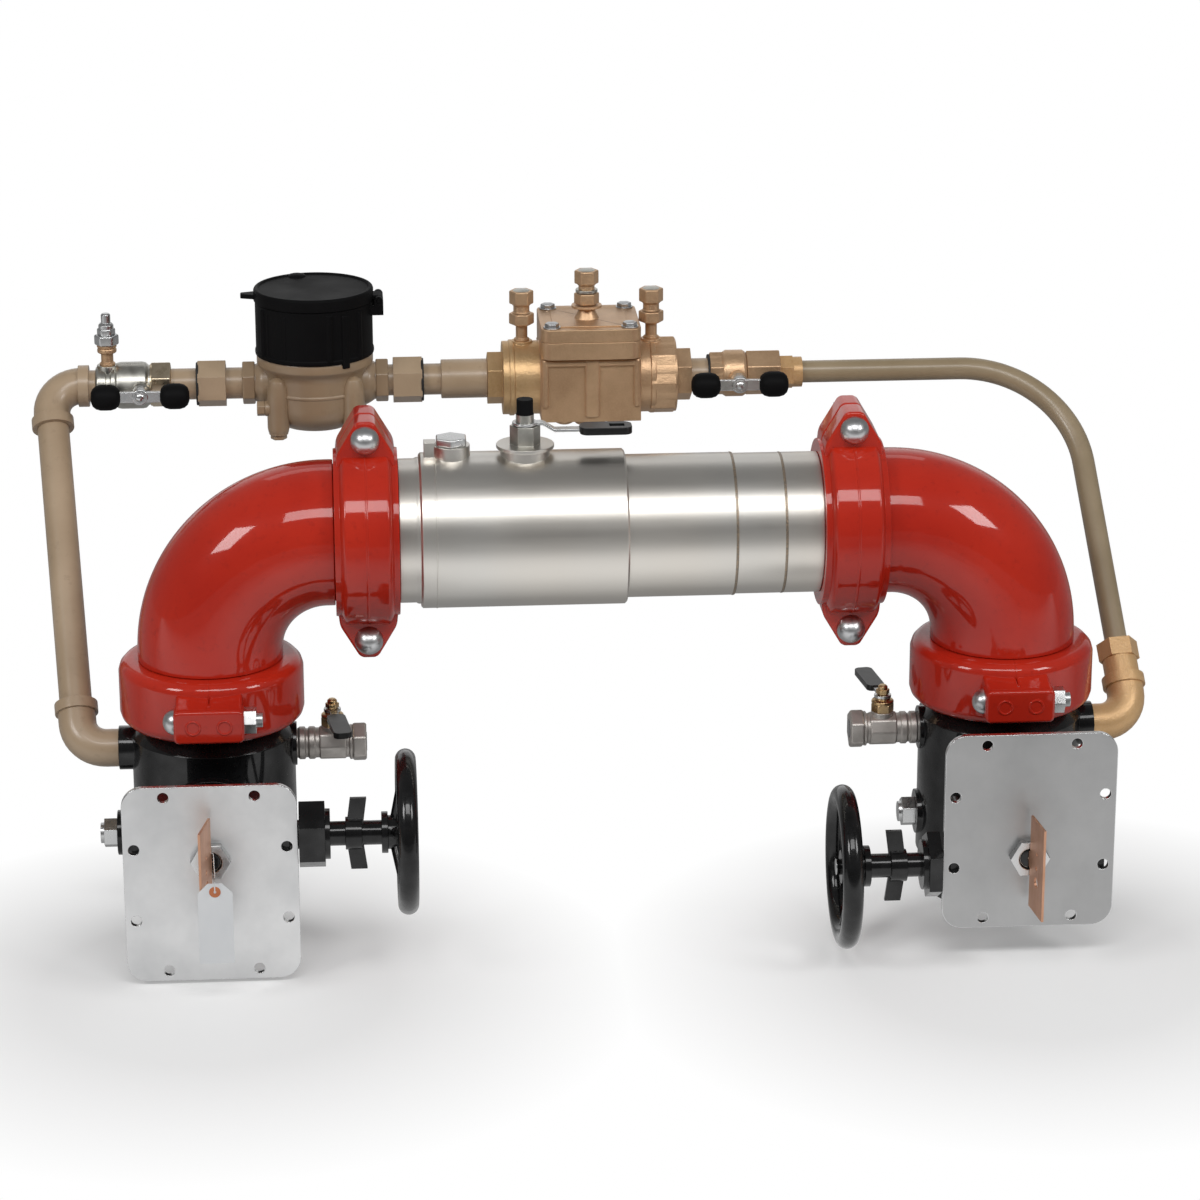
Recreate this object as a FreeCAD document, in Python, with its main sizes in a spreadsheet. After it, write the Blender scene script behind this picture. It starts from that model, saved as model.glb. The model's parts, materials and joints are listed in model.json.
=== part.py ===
import FreeCAD, Part
import math
import os
import re

import Sketcher

# Backflow detector assembly for a four inch water main.
# A check housing lies across two grooved elbows and two butterfly valves, and a
# metered bypass runs behind it from the inlet valve to the outlet valve.
# Millimetres, Z up. The origin is the centre of the inlet valve's open end, with
# the outlet along +X and the bypass behind on +Y. The pieces are drawn round the
# middle of the housing and moved to that origin as they become nodes.

SIZES = (
    # Four inch grooved run
    ("pipe_od", 114.3), ("groove_seat", 15.9), ("groove_width", 8.7), ("groove_depth", 2.1),
    ("joint_gap", 1.6), ("elbow_reach", 127.0), ("elbow_bend", 96.0), ("elbow_swell", 1.85),
    ("elbow_wall", 7.5),
    # Check housing
    ("housing_length", 388.3), ("pipe_wall", 3.05), ("stub_rise", 1.15), ("sleeve_rise", 5.85),
    ("sleeve_start", 41.3), ("sleeve_end", 207.4), ("middle_rise", 0.85), ("end_stub_length", 94.5),
    ("scribe_inset", 55.3), ("shoulder", 1.5), ("weld_width", 4.0), ("weld_rise", 1.0),
    ("access_station", 67.65), ("access_boss_od", 30.0), ("access_boss_rise", 8.8),
    ("access_plug_flats", 24.0), ("access_plug_height", 6.6), ("access_thread_od", 18.0),
    ("access_thread_length", 7.0), ("block_station", 50.35), ("block_length", 9.6),
    ("block_width", 12.0), ("block_rise", 11.8),
    # Two clapper checks inside the housing
    ("first_seat_station", 84.15), ("second_seat_station", 224.15), ("seat_depth", 14.0),
    ("seat_ledge", 19.1), ("seat_overlap", 5.0), ("clapper_thickness", 8.0), ("clapper_gap", 0.3),
    ("pin_inset", 8.8),
    ("pin_offset", 6.0), ("pin_od", 5.0), ("pin_length", 40.0), ("knuckle_od", 10.0),
    ("knuckle_width", 24.0), ("lug_inner", 26.0), ("lug_width", 6.0), ("lug_height", 7.4),
    ("lug_reach", 12.0), ("arm_width", 16.0), ("arm_thickness", 3.5), ("fit_slip", 0.05),
    # Housing test valve on top of the sleeve
    ("top_valve_station", 127.15), ("top_boss_od", 40.0), ("top_boss_rise", 5.3),
    ("top_flange_od", 46.7), ("top_flange_thickness", 3.0), ("top_hex_flats", 21.6),
    ("top_hex_height", 15.5), ("top_neck_od", 14.6), ("top_neck_height", 9.6),
    ("top_cap_od", 13.4), ("top_cap_height", 12.0),
    ("lever_thickness", 2.5), ("lever_drop", 6.0), ("lever_slope_start", 14.0), ("lever_slope_end", 24.0),
    ("lever_grip_start", 44.0), ("lever_grip_end", 86.0), ("lever_width", 9.0),
    ("grip_width", 20.0), ("grip_thickness", 6.0), ("grip_slot_length", 12.0),
    ("grip_slot_width", 7.0),
    # Grooved couplings
    ("gasket_height", 8.85), ("crown_wall", 9.0), ("rim_wall", 2.5), ("coupling_width", 51.5),
    ("crown_width", 38.0), ("lip_clearance", 0.5), ("lip_thickness", 7.4),
    ("gasket_clearance", 0.2), ("ear_offset", 18.0), ("ear_margin", 15.0), ("ear_depth", 26.5),
    ("pipe_ear_tip", 13.0), ("valve_ear_tip", 26.0), ("bolt_od", 12.0),
    ("bolt_clearance", 0.6), ("bolt_head_od", 21.0), ("nut_flats", 19.0), ("nut_height", 11.0),
    ("bolt_tip", 5.0),
    # Butterfly valves
    ("valve_length", 193.0), ("valve_wall", 6.15), ("barrel_rise", 9.35), ("barrel_low", 36.0),
    ("barrel_inset", 37.0), ("barrel_taper", 9.0), ("side_boss_drop", 50.4),
    ("side_boss_od", 36.0), ("bypass_boss_rise", 10.5), ("test_boss_rise", 1.5),
    ("plug_boss_height", 68.0), ("plug_boss_od", 37.0), ("inlet_plug_rise", 14.5),
    ("outlet_plug_rise", 2.5), ("plug_flats", 22.0), ("plug_length", 11.0),
    ("plug_tip_od", 17.0), ("plug_tip_length", 3.0), ("plug_thread_od", 20.0),
    ("plug_thread_length", 12.0),
    ("inlet_stem_height", 106.5), ("outlet_stem_height", 90.0), ("stem_boss_od", 64.0),
    ("stem_flange_od", 88.0), ("stem_flange_thickness", 10.0), ("rear_boss_od", 40.0),
    ("rear_boss_rise", 10.5), ("rear_boss_floor", 17.0), ("stem_od", 16.0), ("disc_clearance", 0.7),
    ("disc_thickness", 12.0), ("disc_hub_od", 24.0), ("disc_hub_clearance", 2.0),
    # Gear operator in front of each valve
    ("mount_stand", 37.5), ("case_hub_length", 14.0), ("case_depth", 35.0), ("cover_thickness", 5.0),
    ("case_hub_od", 74.0), ("case_width", 124.0), ("case_height", 82.0), ("case_lift", 3.0),
    ("case_corner", 12.0), ("cover_width", 137.2), ("cover_height", 164.0),
    ("cover_drop", 21.0), ("cover_corner", 17.0), ("cover_hole", 8.6),
    ("hole_column_outer", 59.9), ("hole_column_inner", 35.6), ("hole_row_outer", 73.3),
    ("hole_row_inner", 30.1), ("cover_opening", 17.0), ("lock_nut_flats", 28.0),
    ("lock_nut_height", 8.0), ("lock_nut_bore", 18.0), ("stem_recess", 3.0),
    ("shaft_inset", 23.0), ("shaft_rise", 12.0), ("shaft_od", 19.4), ("shaft_inner_end", 38.0),
    ("hex_boss_start", 69.5), ("hex_boss_flats", 48.5), ("boss_collar", 4.0),
    ("boss_collar_od", 40.0), ("boss_neck_od", 23.0), ("inlet_boss_reach", 94.0),
    ("outlet_boss_reach", 84.0), ("inlet_wheel_reach", 154.5), ("outlet_wheel_reach", 145.5),
    ("wing_offset", 12.0), ("wing_collar_od", 26.0), ("wing_collar_length", 13.0),
    ("wing_length", 30.0), ("wing_thickness", 4.0), ("wing_lean", 12.0),
    ("wheel_od", 131.4), ("wheel_rim", 16.4), ("wheel_hub_od", 27.0), ("wheel_hub_back", 15.0),
    ("wheel_hub_front", 3.0), ("spoke_count", 5.0), ("spoke_od", 9.0), ("spoke_lean", 11.0),
    ("shaft_flange_od", 33.0), ("shaft_flange_length", 5.0), ("shaft_end_od", 13.0),
    ("shaft_end_reach", 7.0),
    ("flag_thickness", 2.0), ("flag_height", 77.0), ("flag_width", 35.0), ("flag_gap", 2.0),
    ("tongue_height", 13.0), ("tongue_depth", 5.5), ("slot_clearance", 0.1),
    ("flag_hole_small", 3.0), ("flag_hole_middle", 4.0), ("flag_hole_large", 9.0),
    ("flag_hole_pitch", 12.0), ("inlet_flag_bend", -11.5), ("outlet_flag_bend", 7.0),
    # Paper tag on a wire loop in front of the inlet flag
    ("tag_width", 27.0), ("tag_length", 67.0), ("tag_thickness", 0.6), ("tag_corner", 8.0),
    ("tag_eye_od", 9.0), ("tag_eye_bore", 2.2), ("tag_eye_drop", 7.0), ("wire_od", 1.0),
    ("wire_reach", 39.0), ("wire_drop", 7.9), ("wire_side", 4.1), ("wire_clearance", 2.0),
    ("wire_bend", 1.2),
    # Side test valves
    ("side_nipple_od", 26.0), ("side_nipple_length", 18.0), ("side_hex_flats", 27.0),
    ("side_hex_length", 23.0), ("side_end_flats", 29.0), ("side_end_length", 16.5),
    ("side_bore", 15.0), ("side_thread_length", 16.0), ("side_stem_rise", 17.0), ("side_bonnet_od", 19.0),
    ("side_bonnet_height", 10.0), ("side_stem_od", 8.0), ("side_stem_height", 11.0),
    ("side_lever_length", 64.0), ("side_grip_length", 46.0), ("side_grip_width", 15.0),
    ("side_lever_angle", -82.0),
    # Bypass line
    ("bypass_back", 225.0), ("bypass_height", 387.3), ("riser_leg", 32.35),
    ("riser_lean", 26.8), ("tube_leg", 33.65), ("tube_lean", 22.4),
    ("small_pipe_od", 26.7), ("small_bore", 20.8), ("street_od", 31.0), ("street_bend", 24.0),
    ("street_ring_od", 35.5), ("street_ring_length", 9.0), ("street_reach", 40.0),
    ("street_socket", 15.0), ("street_neck", 5.0),
    ("head_elbow_run", 33.3), ("inlet_valve_run", 39.2), ("inlet_ball_run", 57.5),
    ("inlet_hex_run", 85.8), ("inlet_hex_end_run", 102.7), ("inlet_handle_run", 77.9),
    ("valve_tail_od", 34.0), ("valve_ball_od", 40.0), ("valve_hex_flats", 34.0),
    ("handle_stem_od", 16.0), ("handle_neck", 27.0), ("handle_depth", 38.0),
    ("handle_bar_half", 29.0), ("handle_bar_height", 11.0), ("handle_bar_thickness", 4.0),
    ("handle_knob_od", 22.0), ("handle_knob_length", 25.0), ("handle_hub_od", 15.0),
    ("handle_screw_od", 9.0), ("handle_screw_rise", 3.0),
    ("first_union_run", 125.6), ("first_union_end_run", 149.4), ("meter_inlet_run", 163.8),
    ("second_union_run", 291.7), ("second_union_end_run", 316.4), ("meter_outlet_run", 278.0),
    ("union_flats", 35.0), ("union_clearance", 0.05), ("reducer_run", 332.7),
    ("large_pipe_od", 33.4), ("check_inlet_run", 372.1),
    # Water meter
    ("meter_run", 225.5), ("meter_bottom", 36.0), ("meter_body_od", 88.0), ("meter_base_od", 62.0),
    ("meter_collar_od", 99.0), ("meter_collar_low", 17.0), ("meter_top", 26.3),
    ("meter_port_od", 36.0), ("meter_hex_flats", 33.0), ("meter_hex_length", 11.0),
    ("meter_screw_od", 19.0), ("meter_screw_side", 32.0), ("meter_screw_front", 32.0),
    ("meter_screw_top", 12.0), ("strainer_od", 13.0), ("strainer_drop", 14.0),
    ("register_od", 99.6), ("register_height", 46.0), ("register_wall", 5.5),
    ("register_well", 13.0), ("dial_thickness", 3.0), ("dial_clearance", 0.2),
    ("hand_length", 34.0), ("hand_width", 3.0), ("hand_thickness", 0.8), ("hand_hub_od", 6.0),
    ("hand_gap", 0.4), ("hand_post_od", 2.0), ("lid_od", 101.6), ("lid_thickness", 9.6), ("lid_gap", 0.4),
    ("lid_pin_offset", 4.2), ("lid_pin_od", 4.0), ("lid_lug_od", 8.0), ("lid_knuckle_width", 16.0),
    ("lid_lug_width", 6.0), ("lid_lug_gap", 0.3), ("beak_length", 14.0), ("beak_width", 16.0),
    ("beak_thickness", 4.0), ("register_rib", 3.0),
    # Bypass double check
    ("check_half_length", 42.6), ("check_run", 459.3), ("check_width", 70.0),
    ("check_drop", 31.0), ("check_flange_low", 25.5), ("check_flange_high", 40.4),
    ("check_cover_size", 85.0), ("check_cover_thickness", 11.3), ("check_round_od", 63.0),
    ("check_round_run", 385.0), ("check_outlet_run", 533.8), ("check_hex_end_run", 546.7),
    ("check_hex_flats", 40.0), ("check_port_od", 26.0), ("check_port_drop", 36.0),
    ("check_recess_length", 52.0), ("check_recess_width", 56.0), ("check_recess_depth", 2.0),
    ("cover_screw_pitch", 66.0), ("cover_screw_flats", 11.0), ("cover_screw_height", 4.5),
    ("left_cock_run", 402.1), ("centre_cock_run", 457.8), ("right_cock_run", 513.0),
    ("inlet_cock_run", 49.5), ("cock_neck_od", 10.0), ("cock_hex_flats", 19.0),
    ("cock_boss_od", 18.0), ("cock_boss_rise", 1.5), ("cock_neck_height", 14.5),
    ("cock_hex_height", 9.5), ("cock_waist_od", 16.0), ("cock_waist_height", 8.0),
    ("cock_cap_height", 12.5),
    # Outlet side of the bypass
    ("outlet_valve_run", 562.3), ("outlet_ball_end_run", 594.5), ("outlet_valve_end_run", 623.7),
    ("outlet_handle_run", 586.0), ("tube_nut_end_run", 635.0), ("tube_start_run", 642.9),
    ("tube_nut_flats", 25.0), ("tube_ferrule_od", 26.0), ("tube_od", 19.0), ("tube_wall", 1.5),
    ("tube_bend", 100.0), ("foot_nut_length", 15.5),
    ("foot_nut_flats", 30.0), ("foot_ferrule_length", 15.5), ("foot_ferrule_od", 29.0),
)

# Sizes and places that follow from those above. A station with _run in its name is
# measured along the bypass from the corner above the riser.
FOLLOWING = {
    "run_half": "housing_length / 2 + 2 * joint_gap + elbow_reach",
    "elbow_od": "pipe_od + 2 * elbow_swell",
    "elbow_bore": "elbow_od - 2 * elbow_wall",
    "housing_bore": "pipe_od - 2 * pipe_wall",
    "stub_od": "pipe_od + 2 * stub_rise",
    "sleeve_od": "pipe_od + 2 * sleeve_rise",
    "middle_od": "pipe_od + 2 * middle_rise",
    "middle_end": "housing_length - end_stub_length",
    "scribe_at": "housing_length - scribe_inset",
    "access_at": "access_station - housing_length / 2",
    "block_at": "block_station - housing_length / 2",
    "top_valve_at": "top_valve_station - housing_length / 2",
    "first_seat_at": "first_seat_station - housing_length / 2",
    "second_seat_at": "second_seat_station - housing_length / 2",
    "port_od": "housing_bore - 2 * seat_ledge",
    "clapper_od": "port_od + 2 * seat_overlap",
    "pin_rise": "housing_bore / 2 - pin_inset",
    "cavity_od": "pipe_od + 2 * gasket_height",
    "coupling_od": "cavity_od + 2 * crown_wall",
    "rim_od": "cavity_od + 2 * rim_wall",
    "ear_centre": "cavity_od / 2 + ear_offset",
    "ear_reach": "ear_centre + ear_margin",
    "valve_bore": "pipe_od - 2 * valve_wall",
    "barrel_od": "pipe_od + 2 * barrel_rise",
    "barrel_high": "valve_length - barrel_inset",
    "side_boss_height": "valve_length - side_boss_drop",
    "bypass_boss_reach": "barrel_od / 2 + bypass_boss_rise",
    "test_boss_reach": "barrel_od / 2 + test_boss_rise",
    "inlet_plug_reach": "barrel_od / 2 + inlet_plug_rise",
    "outlet_plug_reach": "barrel_od / 2 + outlet_plug_rise",
    "rear_boss_reach": "barrel_od / 2 + rear_boss_rise",
    "stem_rear": "rear_boss_reach - rear_boss_floor",
    "disc_od": "valve_bore - 2 * disc_clearance",
    "disc_hub_length": "valve_bore - 2 * disc_hub_clearance",
    "mount_face": "barrel_od / 2 + mount_stand",
    "case_back": "mount_face + case_hub_length",
    "cover_back": "case_back + case_depth",
    "shaft_depth": "case_back + shaft_inset",
    "riser_foot": "run_half + bypass_boss_reach + riser_leg",
    "riser_head": "riser_foot + riser_lean",
    "outlet_foot": "run_half + bypass_boss_reach + tube_leg",
    "outlet_head": "outlet_foot - tube_lean",
    "head_elbow_end": "riser_head - head_elbow_run",
    "inlet_valve_start": "riser_head - inlet_valve_run",
    "inlet_ball_start": "riser_head - inlet_ball_run",
    "inlet_hex_start": "riser_head - inlet_hex_run",
    "inlet_hex_end": "riser_head - inlet_hex_end_run",
    "inlet_handle_at": "riser_head - inlet_handle_run",
    "inlet_cock_at": "riser_head - inlet_cock_run",
    "first_union_start": "riser_head - first_union_run",
    "first_union_end": "riser_head - first_union_end_run",
    "second_union_start": "riser_head - second_union_run",
    "second_union_end": "riser_head - second_union_end_run",
    "meter_at": "riser_head - meter_run",
    "meter_inlet_end": "riser_head - meter_inlet_run",
    "meter_outlet_end": "riser_head - meter_outlet_run",
    "reducer_at": "riser_head - reducer_run",
    "check_inlet_end": "riser_head - check_inlet_run",
    "check_inlet_start": "riser_head - check_round_run",
    "check_offset": "check_run - riser_head",
    "check_outlet_end": "check_outlet_run - riser_head",
    "check_hex_end": "check_hex_end_run - riser_head",
    "left_cock_at": "left_cock_run - riser_head",
    "centre_cock_at": "centre_cock_run - riser_head",
    "right_cock_at": "right_cock_run - riser_head",
    "outlet_valve_start": "outlet_valve_run - riser_head",
    "outlet_ball_end": "outlet_ball_end_run - riser_head",
    "outlet_valve_end": "outlet_valve_end_run - riser_head",
    "outlet_handle_at": "outlet_handle_run - riser_head",
    "tube_nut_end": "tube_nut_end_run - riser_head",
    "tube_start": "tube_start_run - riser_head",
}

SIZE_NAMES = {name for name, value in SIZES}
WORD = re.compile(r"[a-z][a-z_]+")

Vector = FreeCAD.Vector
Turn = FreeCAD.Rotation
UP = Turn()
DOWN = Turn(Vector(1, 0, 0), 180)
RIGHT = Turn(Vector(0, 1, 0), 90)
LEFT = Turn(Vector(0, 1, 0), -90)
BACK = Turn(Vector(1, 0, 0), -90)
FRONT = Turn(Vector(1, 0, 0), 90)
HALF_TURN = Turn(Vector(0, 0, 1), 180)
UPSIDE_DOWN = Turn(Vector(0, 1, 0), 180)
ORIGIN = (0, 0, 0)

# Places that several pieces share, worked out from the sizes
AXIS = "(valve_length + 2 * joint_gap + elbow_reach)"
RUN = "run_half"
HOUSING_JOINT = "(housing_length / 2 + joint_gap)"
VALVE_JOINT = "(valve_length + joint_gap)"
GROOVE_END = "(groove_seat + groove_width)"
GROOVE_RADIUS = "(pipe_od / 2 - groove_depth)"
COVER_FRONT = "(cover_back + cover_thickness)"
FLAG_BACK = "(cover_back + cover_thickness + lock_nut_height + flag_gap)"
SLEEVE_TOP = "(valve_length + 2 * joint_gap + elbow_reach + sleeve_od / 2)"

doc = FreeCAD.newDocument("BackflowDetector")
sheet = doc.addObject("Spreadsheet::Sheet", "Sizes")
nodes = []


def fill_sheet():
    for row, (name, value) in enumerate(SIZES, start=1):
        sheet.set(f"A{row}", name)
        sheet.set(f"B{row}", str(value))
        sheet.setAlias(f"B{row}", name)
    doc.recompute()


def bound_name(word):
    name = word.group()
    if name in FOLLOWING:
        return "(" + bound(FOLLOWING[name]) + ")"
    return "Sizes." + name if name in SIZE_NAMES else name


def bound(text):
    """An expression in which each size's name points at its cell."""
    return WORD.sub(bound_name, str(text))


def size(text):
    """The value of a size, or of an expression of sizes."""
    return float(sheet.evalExpression(bound(text)))


def place(thing, at=ORIGIN, turn=UP):
    thing.Placement = FreeCAD.Placement(Vector(), turn)
    for axis, value in zip("xyz", at):
        thing.setExpression("Placement.Base." + axis, bound(value))
    return thing


def primitive(kind, at, turn, **sizes):
    thing = doc.addObject("Part::" + kind, kind)
    for name, value in sizes.items():
        thing.setExpression(name, bound(value))
    return place(thing, at, turn)


def cylinder(radius, length, at=ORIGIN, turn=UP):
    return primitive("Cylinder", at, turn, Radius=radius, Height=length)


def ring(radius, wire_radius, at=ORIGIN, turn=UP):
    return primitive("Torus", at, turn, Radius1=radius, Radius2=wire_radius)


def hexagon(flats, length, at=ORIGIN, turn=UP):
    prism = primitive("Prism", at, turn, Circumradius=f"({flats}) / sqrt(3)", Height=length)
    prism.Polygon = 6
    return prism


def block(length, width, height, centre=ORIGIN):
    corner = [f"({middle}) - ({side}) / 2" for middle, side in zip(centre, (length, width, height))]
    return primitive("Box", corner, UP, Length=length, Width=width, Height=height)


def fuse(*things):
    whole = doc.addObject("Part::MultiFuse", "Whole")
    whole.Shapes = list(things)
    return whole


def cut(base, *tools):
    rest = doc.addObject("Part::Cut", "Rest")
    rest.Base = base
    rest.Tool = tools[0] if len(tools) == 1 else fuse(*tools)
    return rest


def group(*things):
    several = doc.addObject("Part::Compound", "Several")
    several.Links = list(things)
    return several


def node(label, thing):
    """Name a finished piece and move it from the housing's middle to the inlet's end."""
    drawn_at = dict(thing.ExpressionEngine).get(".Placement.Base.x")
    if drawn_at is None:
        drawn_at = dict(thing.ExpressionEngine).get("Placement.Base.x", "0")
    thing.setExpression("Placement.Base.x", f"{drawn_at} + {bound(RUN)}")
    thing.Label = label
    nodes.append(thing)


def solid(shape):
    """A piece whose form is computed here from the sheet."""
    thing = doc.addObject("Part::Feature", "Formed")
    thing.Shape = shape
    return thing


def origin_feature(body, role):
    return next(part for part in body.Origin.OriginFeatures if part.Role == role)


def sketched(points, plane):
    """A body with one closed sketch whose corners are tied to the sizes."""
    body = doc.addObject("PartDesign::Body", "Body")
    sketch = body.newObject("Sketcher::SketchObject", "Outline")
    sketch.AttachmentSupport = (origin_feature(body, plane), [""])
    sketch.MapMode = "FlatFace"
    count = len(points)
    start = []
    for corner in range(count):
        angle = math.tau * corner / count
        start.append(Vector(50 + 20 * math.cos(angle), 50 + 20 * math.sin(angle), 0))
    for corner in range(count):
        sketch.addGeometry(Part.LineSegment(start[corner], start[(corner + 1) % count]), False)
    for corner in range(count):
        sketch.addConstraint(Sketcher.Constraint("Coincident", corner, 2, (corner + 1) % count, 1))
    for corner, place_at in enumerate(points):
        for kind, value, rough in zip(("DistanceX", "DistanceY"), place_at, start[corner]):
            index = sketch.addConstraint(Sketcher.Constraint(kind, -1, 1, corner, 1, rough))
            sketch.setExpression(f"Constraints[{index}]", bound(value))
    return body, sketch


def turned(points, at=ORIGIN, turn=UP, angle=360):
    """A revolved body: points are (radius, height along the axis)."""
    body, sketch = sketched(points, "XZ_Plane")
    revolution = body.newObject("PartDesign::Revolution", "Turned")
    revolution.Profile = sketch
    revolution.ReferenceAxis = (sketch, ["V_Axis"])
    revolution.Angle = angle
    return place(body, at, turn)


def slab(points, thickness, at=ORIGIN, turn=UP, corner=None):
    """An extruded body, with its upright corners rounded when a radius is given."""
    body, sketch = sketched(points, "XY_Plane")
    pad = body.newObject("PartDesign::Pad", "Pad")
    pad.Profile = sketch
    pad.setExpression("Length", bound(thickness))
    if corner is not None:
        doc.recompute()
        upright = []
        for number, edge in enumerate(pad.Shape.Edges, start=1):
            first, last = (vertex.Point for vertex in edge.Vertexes)
            if abs(first.x - last.x) + abs(first.y - last.y) < 1e-6:
                upright.append(f"Edge{number}")
        fillet = body.newObject("PartDesign::Fillet", "Corners")
        fillet.Base = (pad, upright)
        fillet.setExpression("Radius", bound(corner))
    return place(body, at, turn)


def oval(width, length):
    """Half of an oval's outline, to be turned about its long axis."""
    outline = [("0", f"-{length} / 2")]
    for angle in range(-75, 76, 15):
        outline.append((f"{width} / 2 * cos({angle})", f"{length} / 2 * sin({angle})"))
    return outline + [("0", f"{length} / 2")]


def rectangle(width, height, centre=(0, 0)):
    half_width = f"({width}) / 2"
    half_height = f"({height}) / 2"
    signs = ((-1, -1), (1, -1), (1, 1), (-1, 1))
    return [
        (f"{centre[0]} + {across} * {half_width}", f"{centre[1]} + {along} * {half_height}")
        for across, along in signs
    ]


def rounded_path(points, radius):
    """Straight runs joined by tangent arcs of one radius."""
    edges = []
    start = points[0]
    for before, corner, after in zip(points, points[1:], points[2:]):
        inward = (before - corner).normalize()
        outward = (after - corner).normalize()
        half_angle = inward.getAngle(outward) / 2
        tangent = radius / math.tan(half_angle)
        first = corner + inward * tangent
        last = corner + outward * tangent
        bisector = (inward + outward).normalize()
        middle = corner + bisector * (radius / math.sin(half_angle) - radius)
        edges.append(Part.LineSegment(start, first).toShape())
        edges.append(Part.Arc(first, middle, last).toShape())
        start = last
    edges.append(Part.LineSegment(start, points[-1]).toShape())
    return Part.Wire(edges)


def swept(points, bend, radius):
    path = rounded_path(points, bend)
    direction = (points[1] - points[0]).normalize()
    section = Part.Wire(Part.makeCircle(radius, points[0], direction))
    return path.makePipeShell([section], True, True)


def bent_loop(corners, bend, radius):
    """A closed loop of round wire: one swept run, with a straight piece that closes it."""
    start = (corners[-1] * 2 + corners[0]) / 3
    end = (corners[-1] + corners[0] * 2) / 3
    run = swept([end] + corners + [start], bend, radius)
    closing = Part.makeCylinder(radius, (end - start).Length, start, end - start)
    return run.fuse(closing).removeSplitter()


def upright_hex(flats, length, at, direction):
    """A hexagonal bar from a point along any direction."""
    corners = []
    for corner in range(7):
        angle = math.tau * corner / 6
        corners.append(Vector(math.cos(angle), math.sin(angle), 0) * (flats / math.sqrt(3)))
    bar = Part.Face(Part.makePolygon(corners)).extrude(Vector(0, 0, length))
    bar.Placement = FreeCAD.Placement(at, Turn(Vector(0, 0, 1), direction))
    return bar


def grooved_end():
    """The outline of a grooved pipe end, from the end inward."""
    return [
        ("pipe_od / 2", "0"),
        ("pipe_od / 2", "groove_seat"),
        (GROOVE_RADIUS, "groove_seat"),
        (GROOVE_RADIUS, GROOVE_END),
    ]


def mirrored(points, length):
    return [(radius, f"{length} - ({height})") for radius, height in reversed(points)]


# Check housing

def check_housing():
    profile = [("housing_bore / 2", "0")] + grooved_end() + [
        ("stub_od / 2", GROOVE_END),
        ("stub_od / 2", "sleeve_start - weld_width"),
        ("stub_od / 2 + weld_rise", "sleeve_start - weld_width / 2"),
        ("stub_od / 2 + weld_rise", "sleeve_start"),
        ("sleeve_od / 2 - shoulder", "sleeve_start"),
        ("sleeve_od / 2", "sleeve_start + shoulder"),
        ("sleeve_od / 2", "sleeve_end - shoulder"),
        ("sleeve_od / 2 - shoulder", "sleeve_end"),
        ("middle_od / 2", "sleeve_end"),
        ("middle_od / 2", "middle_end"),
        ("pipe_od / 2", "middle_end"),
        ("pipe_od / 2", "scribe_at"),
        ("pipe_od / 2 - weld_rise / 2", "scribe_at + weld_rise / 2"),
        ("pipe_od / 2", "scribe_at + weld_rise"),
        ("pipe_od / 2", f"housing_length - {GROOVE_END}"),
    ] + mirrored(grooved_end(), "housing_length") + [("housing_bore / 2", "housing_length")]
    tube = turned(profile, ("-housing_length / 2", 0, AXIS), RIGHT)
    root = f"{AXIS} + housing_bore / 2 + 2"
    access_top = f"{SLEEVE_TOP} + access_boss_rise"
    valve_top = f"{SLEEVE_TOP} + top_boss_rise"
    block_top = f"{SLEEVE_TOP} + block_rise"
    access_boss = cylinder("access_boss_od / 2", f"{access_top} - ({root})", ("access_at", 0, root))
    valve_boss = cylinder("top_boss_od / 2", f"{valve_top} - ({root})", ("top_valve_at", 0, root))
    small_block = block(
        "block_length", "block_width", f"{block_top} - ({root})",
        ("block_at", 0, f"({block_top} + {root}) / 2"),
    )
    access_hole = cylinder(
        "access_thread_od / 2 + fit_slip", "2 * access_boss_rise + sleeve_od / 2",
        ("access_at", 0, f"{AXIS} + housing_bore / 4"),
    )
    node("check_housing", cut(fuse(tube, access_boss, valve_boss, small_block), access_hole))


def access_plug():
    seat = f"{SLEEVE_TOP} + access_boss_rise"
    node("access_plug", fuse(
        hexagon(
            "access_plug_flats", "access_plug_height", ("access_at", 0, seat), Turn(Vector(0, 0, 1), 30),
        ),
        cylinder(
            "access_thread_od / 2", "access_thread_length + 1",
            ("access_at", 0, f"{seat} - access_thread_length"),
        ),
    ))


def check_seats():
    seats = []
    pins = []
    for start in ("first_seat_at", "second_seat_at"):
        disc = cylinder("housing_bore / 2 - fit_slip", "seat_depth", (start, 0, AXIS), RIGHT)
        port = cylinder("port_od / 2", "seat_depth + 2", (f"{start} - 1", 0, AXIS), RIGHT)
        face = f"({start} + seat_depth)"
        lugs = []
        for side in (-1, 1):
            lugs.append(block(
                "lug_reach + 1", "lug_width", "lug_height",
                (f"{face} + (lug_reach - 1) / 2", f"{side} * (lug_inner + lug_width) / 2",
                 f"{AXIS} + pin_rise"),
            ))
        pin_at = (f"{face} + pin_offset", "pin_length / 2", f"{AXIS} + pin_rise")
        pin_hole = cylinder("pin_od / 2", "pin_length", pin_at, FRONT)
        seats.append(cut(fuse(disc, *lugs), port, pin_hole))
        pins.append(cylinder("pin_od / 2", "pin_length", pin_at, FRONT))
    node("check_seats", group(*seats))
    node("check_hinge_pins", group(*pins))


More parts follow.
